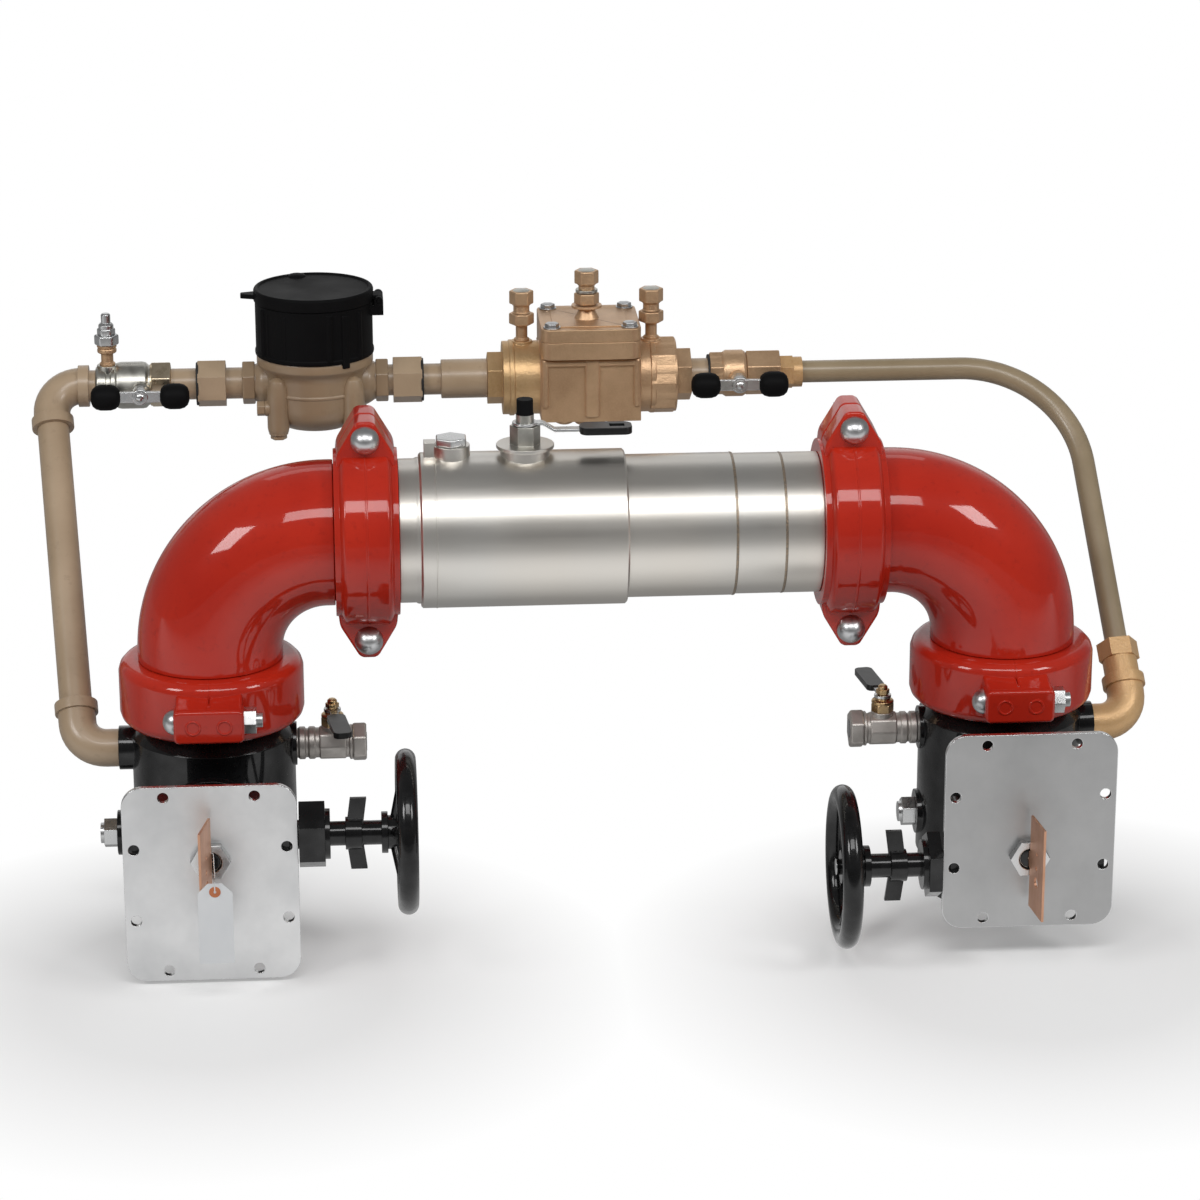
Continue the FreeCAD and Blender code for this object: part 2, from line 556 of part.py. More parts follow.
def clapper(label, start):
    face = f"({start} + seat_depth)"
    disc = cylinder("clapper_od / 2", "clapper_thickness", (f"{face} + clapper_gap", 0, AXIS), RIGHT)
    back = f"{face} + clapper_gap + clapper_thickness"
    arm = block(
        "arm_thickness + 1", "arm_width", "pin_rise",
        (f"{back} + (arm_thickness - 1) / 2", 0, f"{AXIS} + pin_rise / 2"),
    )
    knuckle_at = (f"{face} + pin_offset", "knuckle_width / 2", f"{AXIS} + pin_rise")
    knuckle = cylinder("knuckle_od / 2", "knuckle_width", knuckle_at, FRONT)
    hole = cylinder(
        "pin_od / 2 + fit_slip", "knuckle_width + 2",
        (f"{face} + pin_offset", "knuckle_width / 2 + 1", f"{AXIS} + pin_rise"), FRONT,
    )
    node(label, cut(fuse(disc, arm, knuckle), hole))


def housing_test_valve():
    base = f"{SLEEVE_TOP} + top_boss_rise"
    hex_base = f"{base} + top_flange_thickness"
    neck_base = f"{hex_base} + top_hex_height"
    cap_base = f"{neck_base} + top_neck_height"
    node("housing_test_valve_body", fuse(
        cylinder("top_flange_od / 2", "top_flange_thickness", ("top_valve_at", 0, base)),
        hexagon("top_hex_flats", "top_hex_height", ("top_valve_at", 0, hex_base)),
        cylinder("top_neck_od / 2", "top_neck_height", ("top_valve_at", 0, neck_base)),
        cylinder("top_cap_od / 2", "top_cap_height", ("top_valve_at", 0, cap_base)),
    ))
    profile = [
        ("0", "0"), ("lever_slope_start", "0"), ("lever_slope_end", "-lever_drop"),
        ("lever_grip_start + 1", "-lever_drop"),
        ("lever_grip_start + 1", "-lever_drop + lever_thickness"),
        ("lever_slope_end", "-lever_drop + lever_thickness"),
        ("lever_slope_start", "lever_thickness"), ("0", "lever_thickness"),
    ]
    seat = f"{neck_base} + clapper_gap"
    strip = slab(profile, "lever_width", ("top_valve_at", "lever_width / 2", seat), FRONT)
    hub = cylinder("top_neck_od / 2 + 3", "lever_thickness", ("top_valve_at", 0, seat))
    grip_middle = "(lever_grip_start + lever_grip_end) / 2"
    grip_height = f"{seat} - lever_drop + lever_thickness / 2"
    grip = slab(
        rectangle("lever_grip_end - lever_grip_start", "grip_width"), "grip_thickness",
        (f"top_valve_at + {grip_middle}", 0, f"{grip_height} - grip_thickness / 2"), UP,
        "grip_width / 3",
    )
    slot = block(
        "grip_slot_length", "grip_slot_width", "grip_thickness * 2",
        ("top_valve_at + lever_grip_end - grip_slot_length", 0, grip_height),
    )
    neck_hole = cylinder(
        "top_neck_od / 2 + fit_slip", "lever_thickness + 2", ("top_valve_at", 0, f"{seat} - 1"),
    )
    node("housing_test_lever", cut(fuse(strip, hub, grip), slot, neck_hole))


# Elbows and grooved couplings

def elbow(label, across, turn):
    """Legs along +X and -Z from the corner, then turned into place."""
    reach = size("elbow_reach")
    outer = swept(
        [Vector(reach, 0, 0), Vector(), Vector(0, 0, -reach)], size("elbow_bend"), size("elbow_od / 2"),
    )
    inner = swept(
        [Vector(reach + 1, 0, 0), Vector(), Vector(0, 0, -reach - 1)],
        size("elbow_bend"), size("elbow_bore / 2"),
    )
    outside = "(elbow_od / 2 + 1)"
    machined = [
        ("pipe_od / 2", "-1"), (outside, "-1"), (outside, GROOVE_END), (GROOVE_RADIUS, GROOVE_END),
        (GROOVE_RADIUS, "groove_seat"), ("pipe_od / 2", "groove_seat"),
    ]
    body = cut(
        solid(outer.cut(inner)),
        turned(machined, ("elbow_reach", 0, 0), LEFT), turned(machined, (0, 0, "-elbow_reach"), UP),
    )
    node(label, place(body, (across, 0, AXIS), turn))


def coupling_half(label, at, turn, ear_tip):
    """The half on the -Y side of an upright joint, then turned into place."""
    half = "coupling_width / 2"
    lip = f"{GROOVE_RADIUS} + lip_clearance"
    shell = turned([
        (lip, f"-{half}"), ("rim_od / 2", f"-{half}"),
        ("coupling_od / 2", "-crown_width / 2"), ("coupling_od / 2", "crown_width / 2"),
        ("rim_od / 2", half), (lip, half),
        (lip, f"{half} - lip_thickness"), ("cavity_od / 2", f"{half} - lip_thickness"),
        ("cavity_od / 2", f"lip_thickness - {half}"), (lip, f"lip_thickness - {half}"),
    ])
    ears = []
    holes = []
    for side in (-1, 1):
        ears.append(slab([
            (f"{side} * (cavity_od / 2 - 1)", f"-{side} * {half}"),
            (f"{side} * ear_reach", f"-{side} * {ear_tip} / 2"),
            (f"{side} * ear_reach", f"{side} * {ear_tip} / 2"),
            (f"{side} * (cavity_od / 2 - 1)", f"{side} * {half}"),
        ], "ear_depth", ORIGIN, FRONT))
        holes.append(cylinder(
            "bolt_od / 2 + bolt_clearance", "ear_depth + 2", (f"{side} * ear_centre", 1, 0), FRONT,
        ))
    far_side = block(
        "3 * coupling_od", "coupling_od", "2 * coupling_width", (0, "coupling_od / 2", 0),
    )
    bore = cylinder(
        "cavity_od / 2", "coupling_width - 2 * lip_thickness", (0, 0, f"lip_thickness - {half}"),
    )
    body = cut(fuse(shell, *ears), bore, far_side, *holes)
    node(label, place(body, at, turn))


def couplings():
    gaskets = []
    bolts = []
    nuts = []
    sites = (
        ("inlet_pipe_coupling", (f"-{HOUSING_JOINT}", 0, AXIS), RIGHT, "pipe_ear_tip", "front", "back"),
        ("outlet_pipe_coupling", (HOUSING_JOINT, 0, AXIS), RIGHT, "pipe_ear_tip", "front", "back"),
        ("inlet_valve_coupling", (f"-{RUN}", 0, VALVE_JOINT), Turn(Vector(0, 0, 1), -90),
         "valve_ear_tip", "left", "right"),
        ("outlet_valve_coupling", (RUN, 0, VALVE_JOINT), Turn(Vector(0, 0, 1), -90),
         "valve_ear_tip", "left", "right"),
    )
    for name, at, turn, ear_tip, first, second in sites:
        coupling_half(f"{name}_{first}", at, turn, ear_tip)
        coupling_half(f"{name}_{second}", at, turn.multiply(HALF_TURN), ear_tip)
        outer = "(cavity_od / 2 - gasket_clearance)"
        inner = "(pipe_od / 2 + gasket_clearance)"
        reach = "(coupling_width / 2 - lip_thickness - gasket_clearance)"
        gaskets.append(turned([
            (inner, f"-{reach}"), (outer, f"-{reach}"), (outer, reach), (inner, reach),
        ], at, turn))
        for side in (-1, 1):
            centre = f"{side} * ear_centre"
            head = primitive("Sphere", (centre, "-ear_depth", 0), FRONT, Radius="bolt_head_od / 2")
            head.Angle1 = 0
            shank = cylinder(
                "bolt_od / 2", "2 * ear_depth + nut_height + bolt_tip + 1",
                (centre, "-ear_depth - 1", 0), BACK,
            )
            bolts.append(place(fuse(head, shank), at, turn))
            nut = cut(
                hexagon("nut_flats", "nut_height", (centre, "ear_depth", 0), BACK),
                cylinder("bolt_od / 2 + fit_slip", "nut_height + 2", (centre, "ear_depth - 1", 0), BACK),
            )
            nuts.append(place(nut, at, turn))
    node("coupling_gaskets", group(*gaskets))
    node("coupling_bolts", group(*bolts))
    node("coupling_nuts", group(*nuts))


# Butterfly valves with their gear operators

def valve_body(label, side, across, outboard):
    """outboard is -1 where the bypass boss points to -X and 1 where it points to +X."""
    profile = [("0", "0")] + grooved_end() + [
        ("pipe_od / 2", GROOVE_END),
        ("pipe_od / 2", "barrel_low - barrel_taper"),
        ("barrel_od / 2", "barrel_low"),
        ("barrel_od / 2", "barrel_high"),
        ("pipe_od / 2", "barrel_high + barrel_taper"),
        ("pipe_od / 2", f"valve_length - {GROOVE_END}"),
    ] + mirrored(grooved_end(), "valve_length") + [("0", "valve_length")]
    out = RIGHT if outboard > 0 else LEFT
    back_in = LEFT if outboard > 0 else RIGHT
    stem = f"{side}_stem_height"
    flange_start = "stem_flange_thickness - mount_face"
    outer = fuse(
        turned(profile),
        cylinder("side_boss_od / 2", "bypass_boss_reach", (0, 0, "side_boss_height"), out),
        cylinder("side_boss_od / 2", "test_boss_reach", (0, 0, "side_boss_height"), back_in),
        cylinder("plug_boss_od / 2", f"{side}_plug_reach", (0, 0, "plug_boss_height"), LEFT),
        cylinder("stem_boss_od / 2", "mount_face - 1", (0, 0, stem), FRONT),
        cylinder("stem_flange_od / 2", "stem_flange_thickness", (0, flange_start, stem), FRONT),
        cylinder("rear_boss_od / 2", "rear_boss_reach", (0, 0, stem), BACK),
    )
    thread = "small_pipe_od / 2 + fit_slip"
    holes = fuse(
        cylinder("valve_bore / 2", "valve_length + 2", (0, 0, -1)),
        cylinder("stem_od / 2 + fit_slip", "mount_face + 1", (0, 0, stem), FRONT),
        cylinder("stem_od / 2 + fit_slip", "stem_rear + 1", (0, 0, stem), BACK),
        cylinder(thread, "bypass_boss_reach + 1", (0, 0, "side_boss_height"), out),
        cylinder("side_nipple_od / 2 + fit_slip", "test_boss_reach + 1", (0, 0, "side_boss_height"), back_in),
        cylinder("plug_thread_od / 2 + fit_slip", f"{side}_plug_reach + 1", (0, 0, "plug_boss_height"), LEFT),
    )
    node(label, place(cut(outer, holes), (across, 0, 0)))


def body_plugs():
    plugs = []
    for side, across in (("inlet", f"-{RUN}"), ("outlet", RUN)):
        face = f"{across} - {side}_plug_reach"
        plugs.append(fuse(
            hexagon("plug_flats", "plug_length", (face, 0, "plug_boss_height"), LEFT),
            cylinder("plug_tip_od / 2", "plug_length + plug_tip_length", (face, 0, "plug_boss_height"), LEFT),
            cylinder("plug_thread_od / 2", "plug_thread_length + 1",
                     (f"{face} - 1", 0, "plug_boss_height"), RIGHT),
        ))
    node("body_plugs", group(*plugs))


def operator(side, at, turn):
    """Built round the stem with the handwheel on the +X side, then set in place."""
    boss_reach = f"{side}_boss_reach"
    wheel_reach = f"{side}_wheel_reach"
    case = slab(
        rectangle("case_width", "case_height", ("0", "case_lift")), "cover_back - case_back",
        (0, "-case_back", 0), FRONT, "case_corner",
    )
    shaft_line = ("-shaft_depth", "shaft_rise")
    hex_end = f"{boss_reach} - boss_collar"
    outer = fuse(
        case,
        cylinder("case_hub_od / 2", "case_back - mount_face + 1", (0, "-mount_face", 0), FRONT),
        cylinder("boss_neck_od / 2", f"{hex_end} - shaft_inner_end", ("shaft_inner_end", *shaft_line), RIGHT),
        hexagon("hex_boss_flats", f"{hex_end} - hex_boss_start", ("hex_boss_start", *shaft_line), RIGHT),
        cylinder("boss_collar_od / 2", "boss_collar", (hex_end, *shaft_line), RIGHT),
    )
    holes = fuse(
        cylinder("stem_od / 2 + fit_slip", "cover_back", (0, 0, 0), FRONT),
        cylinder("shaft_od / 2 + fit_slip", f"{boss_reach} - shaft_inner_end + 2",
                 ("shaft_inner_end - 1", *shaft_line), RIGHT),
    )
    node(f"{side}_gearbox", place(cut(outer, holes), at, turn))

    plate = slab(
        rectangle("cover_width", "cover_height", ("0", "-cover_drop")), "cover_thickness",
        (0, "-cover_back", 0), FRONT, "cover_corner",
    )
    plate_holes = [cylinder("cover_opening / 2", "cover_thickness + 2", (0, "1 - cover_back", 0), FRONT)]
    for column, row in (("hole_column_outer", "hole_row_inner"), ("hole_column_inner", "hole_row_outer")):
        for across in (-1, 1):
            for along in (-1, 1):
                hole_at = (f"{across} * {column}", "1 - cover_back", f"{along} * {row} - cover_drop")
                plate_holes.append(cylinder("cover_hole / 2", "cover_thickness + 2", hole_at, FRONT))
    node(f"{side}_cover_plate", place(cut(plate, *plate_holes), at, turn))

    sleeve_end = f"{wheel_reach} - wheel_hub_back"
    collar_start = f"{boss_reach} + wing_offset"
    shaft = [
        cylinder("shaft_od / 2", f"{sleeve_end} - shaft_inner_end", ("shaft_inner_end", *shaft_line), RIGHT),
        cylinder("wing_collar_od / 2", "wing_collar_length", (collar_start, *shaft_line), RIGHT),
        cylinder("shaft_flange_od / 2", "shaft_flange_length",
                 (f"{sleeve_end} - shaft_flange_length", *shaft_line), RIGHT),
        cylinder("shaft_end_od / 2", "wheel_hub_back + shaft_end_reach + 1",
                 (f"{sleeve_end} - 1", *shaft_line), RIGHT),
    ]
    for facing in (0, 180):
        wing_turn = Turn(Vector(1, 0, 0), facing).multiply(Turn(Vector(0, 1, 0), 0))
        shaft.append(slab([
            ("0", "0"), ("wing_collar_length", "0"),
            ("wing_collar_length + wing_lean / 3", "wing_length"), ("wing_lean / 3", "wing_length"),
        ], "wing_thickness", (
            collar_start, f"-shaft_depth + {1 if facing == 0 else -1} * wing_thickness / 2", "shaft_rise",
        ), wing_turn.multiply(FRONT)))
    node(f"{side}_drive_shaft", place(fuse(*shaft), at, turn))

    hub_start = f"{wheel_reach} - wheel_hub_back"
    rim_radius = "(wheel_od - wheel_rim) / 2"
    wheel = [
        ring(rim_radius, "wheel_rim / 2", (wheel_reach, *shaft_line), RIGHT),
        cylinder("wheel_hub_od / 2", "wheel_hub_back + wheel_hub_front", (hub_start, *shaft_line), RIGHT),
    ]
    for spoke in range(int(size("spoke_count"))):
        angle = 360 / size("spoke_count") * spoke
        spoke_turn = Turn(Vector(1, 0, 0), angle).multiply(Turn(Vector(0, 1, 0), size("spoke_lean")))
        wheel.append(cylinder("spoke_od / 2", rim_radius, (
            f"{wheel_reach} - {rim_radius} * sin(spoke_lean)", *shaft_line,
        ), spoke_turn))
    shaft_hole = cylinder(
        "shaft_end_od / 2 + fit_slip", "wheel_hub_back + wheel_hub_front + 2",
        (f"{hub_start} - 1", *shaft_line), RIGHT,
    )
    node(f"{side}_handwheel", place(cut(fuse(*wheel), shaft_hole), at, turn))


def stem_parts(side, across):
    stem = f"{side}_stem_height"
    stem_front = f"({COVER_FRONT} + lock_nut_height - stem_recess)"
    disc = cylinder("disc_od / 2", "disc_thickness", ("-disc_thickness / 2", 0, 0), RIGHT)
    hub = cylinder("disc_hub_od / 2", "disc_hub_length", (0, "disc_hub_length / 2", 0), FRONT)
    rod = cylinder("stem_od / 2", f"stem_rear + {stem_front}", (0, "stem_rear", 0), FRONT)
    slot = block(
        "flag_thickness + 2 * slot_clearance", "2 * tongue_depth", "stem_od * 2", (0, f"-{stem_front}", 0),
    )
    node(f"{side}_disc", place(cut(fuse(disc, hub, rod), slot), (across, 0, stem)))

    blade = block("flag_thickness", "flag_width", "flag_height", (0, "-flag_width / 2", 0))
    holes = []
    for diameter, rise in (("flag_hole_small", 1), ("flag_hole_middle", 0), ("flag_hole_large", -1)):
        holes.append(cylinder(
            f"{diameter} / 2", "flag_thickness + 2",
            ("-flag_thickness / 2 - 1", "-flag_width / 2", f"{rise} * flag_hole_pitch"), RIGHT,
        ))
    bend = Turn(Vector(0, 0, 1), size(f"{side}_flag_bend"))
    leaf = place(cut(blade, *holes), (0, f"-{FLAG_BACK}", 0), bend)
    tongue_end = f"({stem_front} - tongue_depth + slot_clearance)"
    tongue = block(
        "flag_thickness", f"{FLAG_BACK} - {tongue_end} + 1", "tongue_height",
        (0, f"-({FLAG_BACK} + {tongue_end} + 1) / 2", 0),
    )
    node(f"{side}_flag", place(fuse(leaf, tongue), (across, 0, stem)))


def stem_lock_nuts():
    nuts = []
    for side, across in (("inlet", f"-{RUN}"), ("outlet", RUN)):
        at = (across, f"-{COVER_FRONT}", f"{side}_stem_height")
        bore_at = (across, f"1 - {COVER_FRONT}", f"{side}_stem_height")
        nuts.append(cut(
            hexagon("lock_nut_flats", "lock_nut_height", at, FRONT),
            cylinder("lock_nut_bore / 2", "lock_nut_height + 2", bore_at, FRONT),
        ))
    node("stem_lock_nuts", group(*nuts))


# Paper tag and its wire loop

def tag():
    """The wire goes round the flag's tongue, through the eyelet and over the card's top edge."""
    gap_middle = -size("cover_back + cover_thickness + lock_nut_height + flag_gap / 2")
    card_plane = gap_middle - size("wire_reach")
    above = size("tongue_height") / 2 + size("wire_clearance")
    beside = size("flag_thickness") / 2 + size("wire_clearance") / 1.4
    across = size("wire_side")
    eye_height = -size("wire_drop")
    over_edge = eye_height + size("tag_eye_drop") + 2.5
    wire = solid(bent_loop([
        Vector(beside, gap_middle, above),
        Vector(-beside, gap_middle, above),
        Vector(-beside, gap_middle, -above),
        Vector(beside, gap_middle, -above),
        Vector(across, card_plane + 3, eye_height),
        Vector(across, card_plane - 3, eye_height),
        Vector(across, card_plane - 3, over_edge),
        Vector(across, card_plane + 3, over_edge),
    ], size("wire_bend"), size("wire_od") / 2))
    run = f"-{RUN}"
    node("tag_wire", place(wire, (run, 0, "inlet_stem_height")))

    face = f"{COVER_FRONT} + lock_nut_height + flag_gap / 2 + wire_reach"
    eye = (f"{run} + wire_side", f"tag_thickness / 2 - ({face})", "inlet_stem_height - wire_drop")
    top = "tag_eye_drop"
    half = "tag_width / 2"
    card = slab([
        (f"tag_corner - {half}", top), (f"-{half}", f"{top} - tag_corner"),
        (f"-{half}", f"{top} - tag_length"), (half, f"{top} - tag_length"),
        (half, f"{top} - tag_corner"), (f"{half} - tag_corner", top),
    ], "tag_thickness", eye, FRONT)
    eyelet_at = (eye[0], f"{eye[1]} + tag_thickness / 2", eye[2])
    eyelet = cylinder("tag_eye_od / 2", "2 * tag_thickness", eyelet_at, FRONT)
    bore = cylinder("tag_eye_bore / 2", "tag_thickness + 4", (eye[0], f"{eye[1]} + 2", eye[2]), FRONT)
    node("paper_tag", cut(fuse(card, eyelet), bore))


# Side test valves

def side_test_valves():
    bodies = []
    for side, across, inward in (("inlet", f"-{RUN}", 1), ("outlet", RUN, -1)):
        turn = RIGHT if inward > 0 else LEFT
        face = f"{across} + {inward} * test_boss_reach"
        hex_start = f"{face} + {inward} * side_nipple_length"
        end_start = f"{hex_start} + {inward} * side_hex_length"
        height = "side_boss_height"
        stem_at = f"{hex_start} + {inward} * side_hex_length / 2"
        bonnet = f"{height} + side_stem_rise"
        body = fuse(
            cylinder("side_nipple_od / 2", "side_nipple_length + side_thread_length",
                     (f"{face} - {inward} * side_thread_length", 0, height), turn),
            hexagon("side_hex_flats", "side_hex_length", (hex_start, 0, height), turn),
            hexagon("side_end_flats", "side_end_length", (end_start, 0, height), turn),
            cylinder("side_bonnet_od / 2", "side_stem_rise + side_bonnet_height",
                     (stem_at, 0, height)),
            cylinder("side_stem_od / 2", "side_bonnet_height + side_stem_height",
                     (stem_at, 0, bonnet)),
        )
        bore = cylinder(
            "side_bore / 2", "side_end_length", (f"{end_start} + {inward} * 1", 0, height), turn,
        )
        bodies.append(cut(body, bore))
        seat = f"{bonnet} + side_bonnet_height + clapper_gap"
        hub = cylinder("side_stem_od / 2 + 3", "lever_thickness")
        arm = slab(
            rectangle("side_lever_length - 4", "lever_width / 1.4", ("side_lever_length / 2 - 2", "0")),
            "lever_thickness",
        )
        grip = slab(
            rectangle("side_grip_length", "side_grip_width",
                      ("side_lever_length - side_grip_length / 2", "0")),
            "lever_thickness + 2.5", (0, 0, -1.25), UP, "side_grip_width / 3",
        )
        hole = cylinder("side_stem_od / 2 + fit_slip", "lever_thickness + 2", (0, 0, -1))
        lever = cut(fuse(hub, arm, grip), hole)
        facing = size("side_lever_angle") + (0 if inward > 0 else 180)
        node(f"{side}_test_lever", place(lever, (stem_at, 0, seat), Turn(Vector(0, 0, 1), facing)))
    node("side_test_valve_bodies", group(*bodies))


# Bypass line

def bypass_points():
    back = size("bypass_back")
    height = size("bypass_height")
    low = size("side_boss_height")
    foot = Vector(-size("riser_foot"), 0, low)
    head = Vector(-size("riser_head"), back, height)
    out_head = Vector(size("outlet_head"), back, height)
    out_foot = Vector(size("outlet_foot"), 0, low)
    return foot, head, out_head, out_foot


def street_elbow(ends, corner, rings, socket_pipe):
    """ends are the outer points of the two legs; rings name the legs with a band."""
    points = [ends[0], corner, ends[1]]
    body = swept(points, size("street_bend"), size("street_od") / 2)
    for end in rings:
        inward = (corner - end).normalize()
        band = Part.makeCylinder(size("street_ring_od") / 2, size("street_ring_length"), end, inward)
        body = body.fuse(band)
    body = body.cut(swept(points, size("street_bend"), size("small_bore") / 2))
    for end in socket_pipe:
        inward = (corner - end).normalize()
        depth = size("street_socket")
        radius = size("small_pipe_od") / 2 + size("union_clearance")
        body = body.cut(Part.makeCylinder(radius, depth + 1, end - inward, inward))
    return body


def risers():
    foot, head, out_head, out_foot = bypass_points()
    reach = size("street_reach")
    rise = (head - foot).normalize()
    out_rise = (out_head - out_foot).normalize()
    boss = size("run_half + bypass_boss_reach")
    thread = size("small_pipe_od") / 2
    elbows = []
    for corner, direction, side in ((foot, rise, -1), (out_foot, out_rise, 1)):
        face = Vector(side * boss, 0, corner.z)
        top = corner + direction * reach
        body = street_elbow([face, top], corner, [top], [top])
        inward = Vector(-side, 0, 0)
        screwed = size("street_neck") + 6
        nipple = Part.makeCylinder(thread, screwed, face - inward, inward)
        nipple = nipple.cut(Part.makeCylinder(size("small_bore") / 2, screwed + 2, face - inward * 2, inward))
        elbows.append(solid(body.fuse(nipple)))
    low = head - rise * reach
    end = Vector(-size("head_elbow_end"), head.y, head.z)
    elbows.append(solid(street_elbow([low, end], head, [low, end], [low, end])))
    node("street_elbows", group(*elbows))

    socket = size("street_socket")
    start = foot + rise * (reach - socket)
    finish = head - rise * (reach - socket)
    outer = Part.makeCylinder(thread, (finish - start).Length, start, rise)
    bore = Part.makeCylinder(size("small_bore") / 2, (finish - start).Length, start, rise)
    node("riser_pipe", solid(outer.cut(bore)))


def along(radius, start, end, outside=None):
    """A round piece on the bypass axis from one station to another."""
    maker = cylinder if outside is None else outside
    return maker(radius, f"({end}) - ({start})", (start, "bypass_back", "bypass_height"), RIGHT)


def bored(thing, start, end):
    return cut(thing, along("small_bore / 2", f"{start} - 1", f"{end} + 1"))


def bypass_pipes():
    pipe = "small_pipe_od / 2"
    inlet_nipple = bored(
        along(pipe, "-head_elbow_end - street_socket + 1", "-inlet_valve_start"),
        "-head_elbow_end - street_socket", "-inlet_valve_start",
    )
    meter_tail = bored(
        along(pipe, "-inlet_hex_end", "-meter_inlet_end"), "-inlet_hex_end", "-meter_inlet_end",
    )
    reducer = bored(fuse(
        along(pipe, "-meter_outlet_end", "-reducer_at + 1"),
        along("large_pipe_od / 2", "-reducer_at", "-check_inlet_end"),
    ), "-meter_outlet_end", "-check_inlet_end")
    outlet_nipple = bored(
        along(pipe, "check_hex_end", "outlet_valve_start"), "check_hex_end", "outlet_valve_start",
    )
    node("bypass_pipes", group(inlet_nipple, meter_tail, reducer, outlet_nipple))


def pipe_nuts():
    nuts = []
    for name in ("first_union", "second_union"):
        start = f"-{name}_start"
        end = f"-{name}_end"
        nuts.append(cut(
            along("union_flats", start, end, hexagon),
            along("small_pipe_od / 2 + union_clearance", f"{start} - 1", f"{end} + 1"),
        ))
    tube_nut = fuse(
        along("tube_nut_flats", "outlet_valve_end", "tube_nut_end", hexagon),
        along("tube_ferrule_od / 2", "tube_nut_end - 1", "tube_start"),
    )
    nuts.append(cut(
        tube_nut, along("tube_od / 2 + union_clearance", "outlet_valve_end - 1", "tube_start + 1"),
    ))
    foot, head, out_head, out_foot = bypass_points()
    rise = (out_head - out_foot).normalize()
    start = out_foot + rise * size("street_reach")
    ferrule = size("foot_ferrule_length")
    nut = upright_hex(size("foot_nut_flats"), size("foot_nut_length"), start + rise * ferrule, rise)
    body = Part.makeCylinder(size("foot_ferrule_od") / 2, ferrule, start, rise).fuse(nut)
    length = ferrule + size("foot_nut_length")
    radius = size("tube_od") / 2 + size("union_clearance")
    body = body.cut(Part.makeCylinder(radius, length + 2, start - rise, rise))
    nuts.append(solid(body))
    node("pipe_nuts", group(*nuts))


def outlet_tube():
    foot, head, out_head, out_foot = bypass_points()
    rise = (out_head - out_foot).normalize()
    start = Vector(size("outlet_valve_end") + 1, out_head.y, out_head.z)
    end = out_foot + rise * (size("street_reach") + 1)
    points = [start, out_head, end]
    radius = size("tube_od") / 2
    outer = swept(points, size("tube_bend"), radius)
    inner = swept(points, size("tube_bend"), radius - size("tube_wall"))
    node("bypass_outlet_tube", solid(outer.cut(inner)))


def cock_boss(across, height):
    """A flat-topped boss on a round piece of the bypass, for a test cock."""
    return cylinder("cock_boss_od / 2", f"{height} - small_bore / 2 - 1", (
        across, "bypass_back", "bypass_height + small_bore / 2 + 1",
    ))


def bypass_valve(side, start, middle, end, hex_at, handle_at, bosses=()):
    """A ball valve on the bypass axis with its stem facing the front."""
    sections = [
        along("valve_tail_od / 2", start, middle),
        along("valve_ball_od / 2", f"{middle} - 0.5", hex_at),
        along("valve_hex_flats", f"{hex_at} - 0.5", end, hexagon),
        cylinder("handle_stem_od / 2", "handle_neck", (handle_at, "bypass_back", "bypass_height"), FRONT),
    ]
    node(f"bypass_{side}_valve_body", bored(fuse(*sections, *bosses), start, end))
    seat = "(bypass_back - handle_neck - clapper_gap)"
    bar_middle = "bypass_back - handle_depth"
    bar = block(
        "2 * handle_bar_half", "handle_bar_thickness", "handle_bar_height",
        (handle_at, bar_middle, "bypass_height"),
    )
    hub = cylinder(
        "handle_hub_od / 2", f"{seat} - ({bar_middle})", (handle_at, seat, "bypass_height"), FRONT,
    )
    screw = cylinder(
        "handle_screw_od / 2", "handle_bar_thickness / 2 + handle_screw_rise",
        (handle_at, bar_middle, "bypass_height"), FRONT,
    )
    knobs = [
        turned(
            oval("handle_knob_od", "handle_knob_length"),
            (f"{handle_at} + {way} * handle_bar_half", bar_middle, "bypass_height"), RIGHT,
        )
        for way in (-1, 1)
    ]
    node(f"bypass_{side}_handle", fuse(bar, hub, screw, *knobs))


def meter():
    centre = ("-meter_at", "bypass_back", "bypass_height")
    profile = [
        ("0", "-meter_bottom"), ("meter_base_od / 2", "-meter_bottom"),
        ("(meter_base_od + meter_body_od) / 4 + 4", "-meter_bottom + 5"),
        ("meter_body_od / 2", "-meter_bottom + 14"), ("meter_body_od / 2", "meter_collar_low - 4"),
        ("meter_collar_od / 2", "meter_collar_low"), ("meter_collar_od / 2", "meter_top"),
        ("0", "meter_top"),
    ]
    front = "bypass_back - meter_screw_front"
    parts = [
        turned(profile, centre),
        along("meter_port_od / 2", "-meter_inlet_end + meter_hex_length - 1",
              "-meter_outlet_end - meter_hex_length + 1"),
        along("meter_hex_flats", "-meter_inlet_end", "-meter_inlet_end + meter_hex_length", hexagon),
        along("meter_hex_flats", "-meter_outlet_end - meter_hex_length", "-meter_outlet_end", hexagon),
        cylinder("strainer_od / 2", "meter_screw_side + 18",
                 ("-meter_at", front, "bypass_height - strainer_drop"), LEFT),
    ]
    for way in (-1, 1):
        parts.append(cylinder(
            "meter_screw_od / 2", "meter_bottom + meter_screw_top",
            (f"-meter_at + {way} * meter_screw_side", front, "bypass_height - meter_bottom"),
        ))
    port = [
        along("small_bore / 2", "-meter_inlet_end - 1", "-meter_inlet_end + meter_hex_length"),
        along("small_bore / 2", "-meter_outlet_end - meter_hex_length", "-meter_outlet_end + 1"),
    ]
    node("meter_body", cut(fuse(*parts), *port))


